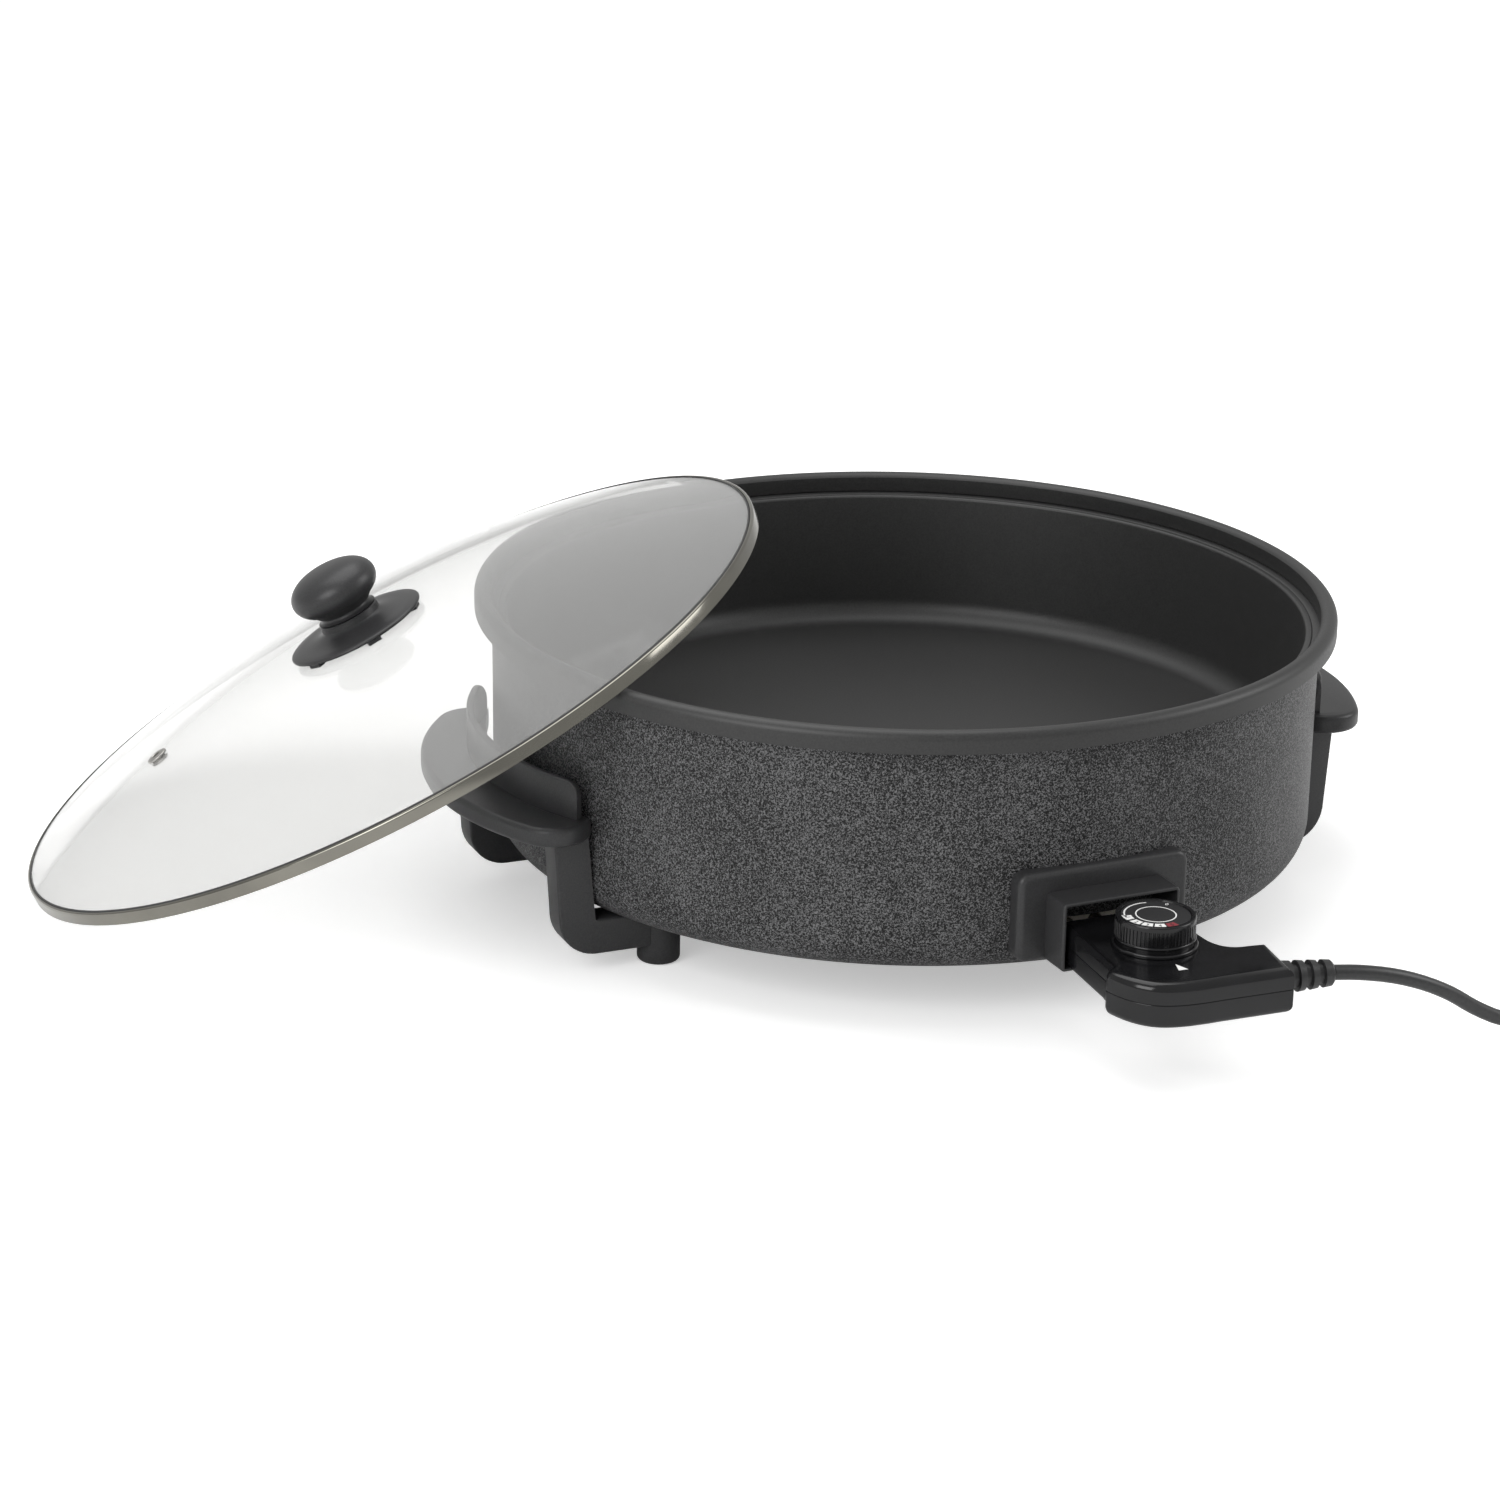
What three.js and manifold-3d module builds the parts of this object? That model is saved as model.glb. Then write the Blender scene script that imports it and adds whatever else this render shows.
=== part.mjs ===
// Electric skillet: a round non-stick pan in a hammered steel jacket, two handles that stand on feet,
// a plug-in heat controller with a dial and a mains cord, and a loose glass lid that leans on the pan.
// Millimetres, +Z up. The origin is on the pan's axis, on the cooking floor. The controller is at -Y,
// the handles are at -X and +X.

import * as THREE from "three";
import { mergeVertices } from "three/addons/utils/BufferGeometryUtils.js";
import Module from "manifold-3d";

const wasm = await Module();
wasm.setup();

// Shared clearances and counts
const gap = 0.3; // between pieces that rest on each other or are fitted together
const runGap = 0.5; // around pieces that slide or turn
const overrun = 5; // how far a cut reaches past the piece it cuts
const nearlyNothing = 0.01; // points closer than this are taken as one
const roundSides = 48; // sides of the large turned pieces
const smallSides = 14; // sides of small round pieces
const knobSides = 24;
const quarter = Math.PI / 2;
const facetShare = Math.cos((2 * quarter) / roundSides); // of a turned piece's radius, at a facet's middle

// Pan
const rimRadius = 210;
const rimTop = 120.8; // above the jacket's underside
const rimRollRadius = 4.3;
const rimSkirt = 10.2; // how far the rim's outer edge hangs down
const panSheet = 2;
const rimWidth = 8.1; // from the rim's outer edge to the lid's seat
const ledgeDepth = 10.1; // the lid's seat, below the rim top
const ledgeWidth = 7.2; // of the lid's seat
const ledgeOuterRadius = rimRadius - rimWidth;
const ledgeInnerRadius = ledgeOuterRadius - ledgeWidth;
const floorHeight = 42.7; // of the cooking floor, above the jacket's underside
const floorThickness = 3.5;
const wallTaper = 15.3; // from the wall's top edge in to where the floor's cove starts
const floorRadius = ledgeInnerRadius - wallTaper;
const coveRadius = 12;
const wallEdgeRound = 1.5;

// Jacket
const rimOverhang = 8.3; // how far the rim stands out past the jacket
const jacketRadius = rimRadius - rimOverhang;
const jacketSheet = 1;
const baseFillet = 17;

// Handles, feet and the table they stand on
const handleSetBack = 1.8; // degrees that each handle is turned away from the controller's side
const handleStandOff = 3.5; // of the handle from the jacket, beside its two bridges
const bridgeHalfWidth = 8;
const gripTop = 51.3;
const gripThickness = 9.5;
const gripStandOff = 40.8; // of the grip's outer edge, from the jacket
const gripReach = jacketRadius + gripStandOff;
const gripFront = 80; // of the grip's end on the controller's side, from the handle's middle
const gripRear = 96; // of the grip's other end
const gripArcRadius = 140;
const gripCornerRadius = 18;
const gripCornerTurn = 150; // degrees, the way that a corner faces where it runs in to the jacket
const gripBevel = 2.4;
const guardHeight = 18.5; // above the grip
const guardSetIn = 23.5; // of the guard, from the grip's outer edge
const guardReach = gripReach - guardSetIn;
const guardArcRadius = 140;
const guardFrontStep = 8.5; // from the grip's front end to the guard's
const guardFront = gripFront - guardFrontStep;
const guardRearStep = 10.5;
const guardRear = gripRear - guardRearStep;
const guardThickness = 3.6;
const guardFrontCorner = 6;
const guardRearCorner = 14;
const legStandOff = 8.1; // of the leg's outer face under the grip, from the jacket
const legOuter = jacketRadius + legStandOff;
const legTaper = 3; // how far the outer face leans in on its way down
const legSideStep = 10; // from the grip's front end to the front leg's side
const legSide = gripFront - legSideStep;
const legThickness = 15.5;
const legDepth = 17.6;
const armUnderside = -17.8;
const armRound = 19;
const legRound = 3;
const footRadius = 10.3;
const footLength = 27.2;
const footSetIn = 55.8; // of the foot's middle, from the leg's outer face
const footX = legOuter - footSetIn;
const footEdge = 2;
const tableLevel = -gap - footLength;
const screwRadius = 1.8;
const screwHeadRadius = 3.6;
const screwHeadHeight = 2.2;
const handleScrewOffset = 32;
const handleScrewDepth = 9;
const footScrewRecess = 5;
const footScrewRecessDepth = 14;
const footScrewGrip = 3; // length of the foot screw above the base plate
const footNutRadius = 4;
const footNutHeight = 2.6;
const nutSides = 6;

// Inlet for the controller
const frameStandOff = 20.3; // of the frame's front edge, from the jacket
const frameFront = jacketRadius + frameStandOff;
const frameHalfWidth = 30;
const frameLow = 8.6;
const frameHigh = 41.5;
const frameWall = 1.4;
const frameRound = 2;
const flangeStandOff = 3.9; // of the flange's face, from the jacket
const flangeFront = jacketRadius + flangeStandOff;
const flangeSideMargin = 14; // beside the frame
const flangeLowMargin = 0.3; // below the frame
const flangeHighMargin = 10; // above the frame
const flangeHalfWidth = frameHalfWidth + flangeSideMargin;
const flangeLow = frameLow - flangeLowMargin;
const flangeHigh = frameHigh + flangeHighMargin;
const flangeRound = 6;
const flangeEdge = 3;
const inletBlockDepth = 9;
const pinRise = 12.9; // of the pins and the probe, above the frame's underside
const pinHeight = frameLow + pinRise;
const pinSideMargin = 14.6; // from each pin's axis to the frame's side wall
const pinSpacing = 2 * (frameHalfWidth - frameWall - pinSideMargin);
const pinRadius = 2.4;
const pinSetIn = 5; // of the pins' tips, from the frame's front edge
const pinReach = frameFront - pinSetIn;
const pinTail = 12; // of each pin, behind the block
const probeRadius = 3;
const probeReach = 53.7; // of the probe's tip, in from the jacket
const probeTip = jacketRadius - probeReach;
const pocketWall = 1.6;
const pocketLength = 34;
const pocketWebWidth = 5;
const shroudScrewMargin = 6.5; // beside the frame
const shroudScrewOffset = frameHalfWidth + shroudScrewMargin;
const shroudScrewDepth = 5;

// Heating element
const elementRadius = 3.2;
const elementSetIn = 55.4; // of the ring, from the edge of the flat floor
const elementRing = floorRadius - elementSetIn;
const elementMouth = 15; // degrees left open on each side of the ring's start
const elementSteps = 38;
const elementSides = 6;
const clipCount = 3;
const clipWidth = 12;
const clipWall = 1.4;
const clipLength = 9;

// Controller
const bodyDrop = 0.6; // of the body's underside, below the shroud's frame
const bodyLow = frameLow - bodyDrop;
const bodyHeight = 21.5;
const bodyHigh = bodyLow + bodyHeight;
const lowerShellHeight = 11.8;
const partingHeight = bodyLow + lowerShellHeight;
const shellWall = 2;
const shellEdge = 3.4;
const stemSideGap = 2.6; // between the stem and the frame's side walls
const stemHalfWidth = frameHalfWidth - frameWall - stemSideGap;
const stemWidening = 3.8; // on each side, on the way to the shoulder
const stemShoulderHalfWidth = stemHalfWidth + stemWidening;
const stemLow = frameLow + frameWall + runGap;
const stemReach = 11.5; // of the stem into the shroud
const stemEnd = frameFront - stemReach;
const stemLength = 43; // of the stem in front of the shroud
const shoulderY = frameFront + stemLength; // where the stem widens into the body
const shoulderWidth = 4.8; // of the body beside the stem
const bodyLeft = stemShoulderHalfWidth + shoulderWidth;
const bodyLength = 34.2; // from the shoulder to the front
const bodyFront = shoulderY + bodyLength;
const shoulderRound = 7;
const cornerWidth = 18.7; // of the body's round front corner
const cornerLength = 24.5;
const cornerBulge = 4.2; // from the corner's two sides to the point that its curve leans to
const neckStandOut = 0.4; // of the hollow between the dial and the tail, beside the stem
const neckX = stemHalfWidth + neckStandOut;
const neckRadius = 17;
const tailStandOut = 19.1; // of the tail's end face, from the hollow
const tailLength = neckX + tailStandOut;
const tailWidth = 33.2;
const tailSplay = 9.2; // degrees that the tail turns outwards
const tailSetBack = 14.6; // of the tail's middle, from the front
const tailMiddle = bodyFront - tailSetBack;
const dialSetBack = 13.5; // of the dial's axis, from the shoulder
const dialY = shoulderY - dialSetBack;
const dialRadius = 18.15;
const dialHeight = 12.8;
const dialBaseStep = 1.45; // of the bead round the dial's foot
const dialBaseRadius = dialRadius + dialBaseStep;
const dialBaseHeight = 1.6;
const dialRimWidth = 2;
const dialFaceRecess = 0.9;
const dialFaceThickness = 0.6;
const dialKnurls = 24;
const dialKnurlDepth = 0.45;
const dialBandHeight = 2.2;
const dialShaftRadius = 3;
const dialShaftLength = 9;
const thermostatWidth = 20;
const thermostatLength = 34;
const thermostatThickness = 2;
const bimetalThickness = 0.8;
const bimetalWidth = 6;
const bimetalLength = 30;
const socketWall = 1;
const socketLength = 18;
const shellScrewX = 14;
const shellScrewSetBack = 16.2; // from the front
const shellScrewY = bodyFront - shellScrewSetBack;
const clampLength = 8;
const clampWidth = 16;
const clampHeight = 3;
const bossRadius = 3.6;

// Cord, coil and plug
const cordDiameter = 7;
const cordSides = 8;
const cordStep = 16;
const reliefLength = 25;
const reliefRadius = 7.6;
const reliefTipRadius = 6;
const reliefGrooves = 3;
const reliefGrooveDepth = 1;
const coilMiddleRadius = 38.6;
const coilPitch = cordDiameter + 0.6;
const coilLayers = 2;
const coilTurnsPerLayer = 2;
const coilSteps = 24;
const coilSides = 6;
const coilClimbShare = 0.25; // of a turn, on each side of where the spiral reverses
const coilStandOff = 216.5; // of the coil's middle, from the tail's end face
const coilSetIn = 44.6; // of the coil's middle, from the tail's line towards the pan
const coilX = tailLength + coilStandOff;
const coilY = coilSetIn - tailMiddle;
const tieThickness = 0.8;
const tieWidth = 6;
const tailCordLength = 46;
const plugRadius = 18.5;
const plugNoseLength = 16;
const plugLength = 44;
const plugNeckRadius = 6.4;
const plugPinRadius = 2.4;
const plugPinLength = 19;
const plugPinSpacing = 19;

// Lid
const lidPlay = 1.9; // between the lid and its seat's outer edge
const lidRadius = ledgeOuterRadius - lidPlay;
const lidBandHeight = 6.4;
const lidBandSheet = 0.8;
const lidLip = 1.8; // how far the steel band's lips reach inwards
const glassThickness = 3.6;
const domeRise = 30.8; // of the glass, from the band's top edge to the middle
const glassEdge = 1.2;
const lidTilt = 27.2; // degrees from level
const lidLean = 157.15; // degrees, the way from the pan's axis to the leaning lid
const knobFlangeRadius = 35;
const knobFlangeThickness = 2.4;
const knobFlangeRise = 3.6;
const knobNeckRadius = 13;
const knobCollarRadius = 15.4;
const knobBaseHeight = 9.4;
const knobNubCount = 6;
const knobNubTurn = 27; // degrees, of the first nub in the lid's own plane
const knobNubHeight = 1.8;
const knobNubWidth = 7;
const knobNubDepth = 4;
const knobGripRadius = 22.4;
const knobGripHeight = 23;
const knobNeckHeight = 2.6;
const knobScrewRadius = 2.6;
const knobScrewHead = 5.6;
const knobScrewLength = 24;
const knobWasherRadius = 9;
const knobWasherThickness = 1.2;
const ventRadius = 2.2;
const ventWall = 1.4;
const ventFlange = 1.8;
const ventSetIn = 83.9; // of the vent, from the lid's edge
const ventPlace = lidRadius - ventSetIn;
const ventBearing = 162.4; // degrees, in the lid's own plane

// Colours and finishes of the pieces
const finish = {
  nonStick: { color: 0x2b2c2d, roughness: 0.55, metalness: 0.2 },
  hammered: { color: 0x4a4b4c, roughness: 0.5, metalness: 0.3 },
  handlePlastic: { color: 0x3a3a3b, roughness: 0.6, metalness: 0 },
  shellPlastic: { color: 0x18181a, roughness: 0.2, metalness: 0 },
  steel: { color: 0xc8c6c0, roughness: 0.25, metalness: 1 },
  heater: { color: 0x6e6a64, roughness: 0.5, metalness: 0.9 },
  brass: { color: 0xb9975b, roughness: 0.35, metalness: 1 },
  ceramic: { color: 0xe6e1d6, roughness: 0.7, metalness: 0 },
  glass: { color: 0xdfe6e2, roughness: 0.05, metalness: 0, transparent: true, opacity: 0.35 },
  rubber: { color: 0x1b1b1c, roughness: 0.8, metalness: 0 },
  print: { color: 0x222224, roughness: 0.6, metalness: 0 },
};

// Helpers that turn three.js geometry into solids and back

// A geometry with only its position, shared corners merged and collapsed triangles left out.
function closedGeometry(geometry) {
  const bare = new THREE.BufferGeometry();
  const source = geometry.index ? geometry.toNonIndexed() : geometry;
  bare.setAttribute("position", source.getAttribute("position").clone());
  const merged = mergeVertices(bare, 1e-4);
  const kept = [];
  const index = merged.index.array;
  for (let i = 0; i < index.length; i += 3) {
    const [a, b, c] = [index[i], index[i + 1], index[i + 2]];
    if (a !== b && b !== c && c !== a) kept.push(a, b, c);
  }
  merged.setIndex(kept);
  return merged;
}

function solid(geometry) {
  const closed = closedGeometry(geometry);
  const mesh = new wasm.Mesh({
    numProp: 3,
    vertProperties: new Float32Array(closed.getAttribute("position").array),
    triVerts: new Uint32Array(closed.index.array),
  });
  return new wasm.Manifold(mesh);
}

function geometryOf(manifold) {
  const mesh = manifold.getMesh();
  const geometry = new THREE.BufferGeometry();
  geometry.setAttribute("position", new THREE.BufferAttribute(mesh.vertProperties, 3));
  geometry.setIndex(new THREE.BufferAttribute(mesh.triVerts, 1));
  return geometry;
}

// The first geometry with every other one cut away.
function cut(first, ...others) {
  let result = solid(first);
  for (const other of others) result = result.subtract(solid(other));
  return geometryOf(result);
}

function join(...geometries) {
  let result = solid(geometries[0]);
  for (const other of geometries.slice(1)) result = result.add(solid(other));
  return geometryOf(result);
}

function overlapOf(first, second) {
  return geometryOf(solid(first).intersect(solid(second)));
}

// The same form on the other side of the pan.
function mirrored(geometry) {
  return geometryOf(solid(geometry).mirror([1, 0, 0]));
}

// A named mesh with its finish.
function piece(name, geometry, look) {
  const mesh = new THREE.Mesh(geometry, new THREE.MeshStandardMaterial(look));
  mesh.name = name;
  return mesh;
}

// Helpers that make plain forms

// A body turned about Z from [radius, height] points that run up its outside.
function turned(points, sides = smallSides) {
  const profile = points.map(([radius, height]) => new THREE.Vector2(radius, height));
  const start = profile[0];
  const end = profile[profile.length - 1];
  const onAxis = start.x === 0 && end.x === 0;
  if (!onAxis) profile.push(start.clone());
  return new THREE.LatheGeometry(profile, sides).rotateX(quarter);
}

function rod(radius, low, high, sides = smallSides) {
  return turned([[0, low], [radius, low], [radius, high], [0, high]], sides);
}

function tube(outer, inner, low, high, sides = smallSides) {
  return turned([[inner, low], [outer, low], [outer, high], [inner, high]], sides);
}

// Points of an arc in the profile plane, from one angle to another in degrees.
function arcPoints(centreRadius, centreHeight, radius, from, to, steps) {
  const points = [];
  for (let i = 0; i <= steps; i += 1) {
    const angle = THREE.MathUtils.degToRad(from + ((to - from) * i) / steps);
    points.push([centreRadius + radius * Math.cos(angle), centreHeight + radius * Math.sin(angle)]);
  }
  return points;
}

function block(lowX, highX, lowY, highY, lowZ, highZ) {
  const box = new THREE.BoxGeometry(highX - lowX, highY - lowY, highZ - lowZ);
  return box.translate((lowX + highX) / 2, (lowY + highY) / 2, (lowZ + highZ) / 2);
}

// An outline with round corners, centred on its own origin.
function roundedOutline(halfWidth, halfHeight, radius) {
  const outline = new THREE.Shape();
  outline.absarc(halfWidth - radius, halfHeight - radius, radius, 0, quarter);
  outline.absarc(radius - halfWidth, halfHeight - radius, radius, quarter, 2 * quarter);
  outline.absarc(radius - halfWidth, radius - halfHeight, radius, 2 * quarter, 3 * quarter);
  outline.absarc(halfWidth - radius, radius - halfHeight, radius, 3 * quarter, 4 * quarter);
  return outline;
}

// The outline as a plain ring of points, without points that fall on each other.
function ringOf(outline, curveSegments) {
  const points = outline.getPoints(curveSegments);
  const apart = points.filter((point, i) => {
    const before = points[(i + points.length - 1) % points.length];
    return point.distanceTo(before) > nearlyNothing;
  });
  return new THREE.Shape(apart);
}

// An outline raised from one height to another, with its edges rounded inwards.
function raised(outline, low, high, edge = 0, curveSegments = 6, edgeSteps = 3) {
  return new THREE.ExtrudeGeometry(ringOf(outline, curveSegments), {
    depth: high - low - 2 * edge,
    bevelEnabled: edge > 0,
    bevelThickness: edge,
    bevelSize: edge,
    bevelOffset: -edge,
    bevelSegments: edgeSteps,
  }).translate(0, 0, low + edge);
}

// The same outline drawn in X and Z, raised towards -Y from one distance to another.
function facing(outline, near, far, edge = 0, curveSegments = 3) {
  return raised(outline, near, far, edge, curveSegments, 2).rotateX(quarter);
}

function moved(geometry, x, y, z) {
  return geometry.translate(x, y, z);
}

// A round section swept along a curve.
function swept(curve, radius, sides, steps) {
  const section = new THREE.Shape();
  for (let i = 0; i < sides; i += 1) {
    const angle = (i * 4 * quarter) / sides;
    const [x, y] = [radius * Math.cos(angle), radius * Math.sin(angle)];
    if (i === 0) section.moveTo(x, y);
    else section.lineTo(x, y);
  }
  section.closePath();
  return new THREE.ExtrudeGeometry(section, { steps, bevelEnabled: false, extrudePath: curve });
}

// A pan head screw with its head at the origin's upper side and its shank down along -Z.
function screw(shankLength, headRadius = screwHeadRadius, shankRadius = screwRadius) {
  const edge = screwHeadHeight / 3;
  return turned([
    [0, -shankLength],
    [shankRadius, -shankLength],
    [shankRadius, 0],
    [headRadius, 0],
    [headRadius, screwHeadHeight - edge],
    [headRadius - edge, screwHeadHeight],
    [0, screwHeadHeight],
  ], smallSides / 2);
}

// Pan

const ledgeHeight = rimTop - ledgeDepth;
const rollRadiusCentre = rimRadius - rimRollRadius;
const rollHeightCentre = rimTop - rimRollRadius;
const wallFoot = floorRadius + coveRadius;

function innerPan() {
  const outsideCove = arcPoints(floorRadius, floorHeight + coveRadius, coveRadius + panSheet, -80, 0, 3);
  const insideCove = arcPoints(floorRadius, floorHeight + coveRadius, coveRadius, 0, -90, 4);
  const outerRoll = arcPoints(rollRadiusCentre, rollHeightCentre, rimRollRadius, 0, 150, 4);
  const innerRoll = arcPoints(rollRadiusCentre, rollHeightCentre, rimRollRadius - panSheet, 180, 0, 2);
  const edge = arcPoints(
    ledgeInnerRadius + wallEdgeRound, ledgeHeight - wallEdgeRound, wallEdgeRound, 90, 180, 2);
  return turned([
    [0, floorHeight - floorThickness],
    [floorRadius, floorHeight - floorThickness],
    ...outsideCove,
    [ledgeInnerRadius + panSheet, ledgeHeight - 2 * panSheet],
    [ledgeInnerRadius + 2 * panSheet, ledgeHeight - panSheet],
    [rollRadiusCentre - rimRollRadius + panSheet, ledgeHeight - panSheet],
    ...innerRoll,
    [rimRadius - panSheet, rimTop - rimSkirt],
    [rimRadius, rimTop - rimSkirt],
    ...outerRoll,
    [ledgeOuterRadius, ledgeHeight],
    ...edge,
    ...insideCove,
    [0, floorHeight],
  ], roundSides);
}

const jacketTop = ledgeHeight - panSheet - gap;

function jacketHole() {
  const halfWidth = pinSpacing / 2 + 2 * pinRadius + runGap;
  const outline = roundedOutline(halfWidth, pinHeight - baseFillet, frameRound);
  return moved(facing(outline, jacketRadius - 4 * jacketSheet - overrun, jacketRadius + overrun), 0, 0, pinHeight);
}

function outerJacket() {
  const inner = jacketRadius - jacketSheet;
  const shell = turned([
    [0, 0],
    ...arcPoints(jacketRadius - baseFillet, baseFillet, baseFillet, -90, 0, 4),
    [jacketRadius, jacketTop],
    [inner, jacketTop],
    ...arcPoints(jacketRadius - baseFillet, baseFillet, baseFillet - jacketSheet, 0, -90, 4),
    [0, jacketSheet],
  ], roundSides);
  const holes = [jacketHole()];
  for (const place of handleScrewPlaces()) holes.push(alongScrew(place, rod(screwRadius + gap, -overrun, overrun)));
  for (const place of shroudScrewPlaces()) holes.push(alongScrew(place, rod(screwRadius + gap, -overrun, overrun)));
  for (const [x, y] of footPlaces()) holes.push(moved(rod(screwRadius + gap, -overrun, overrun), x, y, 0));
  return cut(shell, ...holes);
}

// The wall's outer surface as a solid that reaches inwards, to cut what stands against it.
function wallCutter(clearance) {
  return rod(jacketRadius + clearance, -overrun, rimTop, roundSides);
}

// The jacket's whole outside with its rounded base edge.
function jacketCutter(clearance) {
  const radius = jacketRadius + clearance;
  return turned([
    [0, -clearance],
    ...arcPoints(jacketRadius - baseFillet, baseFillet, baseFillet + clearance, -90, 0, 4),
    [radius, rimTop],
    [0, rimTop],
  ], roundSides);
}

const handleBearings = [180 - handleSetBack, handleSetBack]; // of the left and the right handle

// Screws that come from inside the jacket into the handles and the inlet: each place is the point
// on the jacket's inner wall and the bearing in degrees that the shank follows.
function wallScrewPlace(offset, height, bearing) {
  const inner = (jacketRadius - jacketSheet) * facetShare;
  const reach = Math.sqrt(inner * inner - (offset + screwHeadRadius) * (offset + screwHeadRadius));
  return { offset, height, bearing, reach: reach - gap };
}

function handleScrewPlaces() {
  const places = [];
  for (const bearing of handleBearings) {
    for (const side of [-1, 1]) {
      const place = wallScrewPlace(handleScrewOffset, gripTop - gripThickness / 2, bearing);
      places.push({ ...place, offset: side * handleScrewOffset });
    }
  }
  return places;
}

function shroudScrewPlaces() {
  return [-1, 1].map((side) => {
    const place = wallScrewPlace(shroudScrewOffset, (flangeLow + flangeHigh) / 2, -90);
    return { ...place, offset: side * shroudScrewOffset };
  });
}

// Turns a shape drawn along +Z so that its +Z points back at the pan's axis from the place given.
function alongScrew(place, geometry) {
  const bearing = THREE.MathUtils.degToRad(place.bearing);
  return geometry
    .rotateY(-quarter)
    .translate(place.reach, place.offset, place.height)
    .rotateZ(bearing);
}

// Handles

// Where a corner's arc stands on the grip whose end is at the distance given, and where it starts.
function gripCorner(end) {
  const angle = Math.asin((end - gripCornerRadius) / (gripArcRadius - gripCornerRadius));
  const x = gripReach - gripArcRadius + (gripArcRadius - gripCornerRadius) * Math.cos(angle);
  return { x, y: end - gripCornerRadius, angle };
}

// The grip seen from above, for the right handle: its ends turn in round to the jacket.
function gripOutline() {
  const front = gripCorner(gripFront);
  const rear = gripCorner(gripRear);
  const turn = THREE.MathUtils.degToRad(gripCornerTurn);
  const back = jacketRadius / 2;
  const outline = new THREE.Shape();
  outline.moveTo(back, 0);
  outline.lineTo(back, -front.y - gripCornerRadius * Math.sin(turn));
  outline.absarc(front.x, -front.y, gripCornerRadius, -turn, -front.angle);
  outline.absarc(gripReach - gripArcRadius, 0, gripArcRadius, -front.angle, rear.angle);
  outline.absarc(rear.x, rear.y, gripCornerRadius, rear.angle, turn);
  outline.lineTo(back, rear.y + gripCornerRadius * Math.sin(turn));
  outline.closePath();
  return outline;
}

function gripPlate() {
  return raised(gripOutline(), gripTop - gripThickness, gripTop, gripBevel, 5, 2);
}

// The heat guard that stands on the grip: a thin bent wall with its top corners rounded.
function guard() {
  const centre = guardReach - guardArcRadius;
  const start = -Math.asin(guardFront / guardArcRadius);
  const end = Math.asin(guardRear / guardArcRadius);
  const band = new THREE.Shape();
  band.absarc(centre, 0, guardArcRadius, start, end);
  band.absarc(centre, 0, guardArcRadius - guardThickness, end, start, true);
  band.closePath();
  const low = gripTop - gripThickness / 2;
  const high = gripTop + guardHeight;
  const wall = raised(band, low, high, 0, 8);
  const face = new THREE.Shape();
  const near = guardFrontCorner;
  const far = guardRearCorner;
  face.moveTo(-guardFront, low);
  face.lineTo(guardRear, low);
  face.absarc(guardRear - far, high - far, far, 0, quarter);
  face.absarc(near - guardFront, high - near, near, quarter, 2 * quarter);
  face.closePath();
  const window = raised(face, jacketRadius / 2, gripReach, 0, 4).rotateX(quarter).rotateZ(quarter);
  return overlapOf(wall, window);
}

// One leg: down along the jacket and in under the base to the foot, seen from the side.
function leg(side) {
  const outline = new THREE.Shape();
  const inside = legOuter - legDepth - overrun;
  const arcX = legOuter - legTaper - armRound;
  outline.moveTo(footX, armUnderside);
  outline.lineTo(arcX, armUnderside);
  outline.absarc(arcX, armUnderside + armRound, armRound, -quarter, 0);
  outline.lineTo(legOuter, gripTop - gripThickness / 2);
  outline.lineTo(inside, gripTop - gripThickness / 2);
  outline.lineTo(inside, -gap);
  outline.lineTo(footX, -gap);
  outline.closePath();
  const plate = raised(outline, 0, legThickness, legRound / 2, 4, 1).rotateX(quarter);
  const outerSide = side > 0 ? legSide : legThickness - legSide;
  return moved(plate, 0, outerSide, 0);
}

// Where the feet stand: left front, left rear, right front, right rear.
function footPlaces() {
  const footY = legSide - legThickness / 2;
  const axis = new THREE.Vector2();
  const turn = THREE.MathUtils.degToRad(handleSetBack);
  const front = new THREE.Vector2(footX, -footY).rotateAround(axis, turn);
  const rear = new THREE.Vector2(footX, footY).rotateAround(axis, turn);
  return [[-front.x, front.y], [-rear.x, rear.y], [front.x, front.y], [rear.x, rear.y]];
}

// The room between the jacket and the handle, without the two bridges that hold the handle.
function handleRoom(turn) {
  const high = gripTop + guardHeight + overrun;
  const room = turned([
    [0, -gap],
    [jacketRadius, -gap],
    [jacketRadius + handleStandOff, gripTop - gripThickness],
    [jacketRadius + handleStandOff, high],
    [0, high],
  ], roundSides);
  const bridges = [-handleScrewOffset, handleScrewOffset].map((middle) => {
    const low = middle - bridgeHalfWidth;
    return block(0, gripReach, low, middle + bridgeHalfWidth, 0, high + overrun).rotateZ(turn);
  });
  return cut(room, ...bridges);
}

// The right handle, turned to its bearing and then cut to fit the jacket, the feet and the screws.
function rightHandle() {
  const turn = THREE.MathUtils.degToRad(handleSetBack);
  const whole = join(gripPlate(), guard(), leg(1), leg(-1)).rotateZ(turn);
  const cutters = [handleRoom(turn), jacketCutter(gap)];
  for (const [x, y] of footPlaces()) {
    cutters.push(moved(rod(footRadius + gap, tableLevel - overrun, overrun, smallSides), x, y, 0));
  }
  for (const place of handleScrewPlaces()) {
    cutters.push(alongScrew(place, rod(screwRadius + gap, -handleScrewDepth - 2 * gap - overrun, 0)));
  }
  return cut(whole, ...cutters);
}

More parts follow.
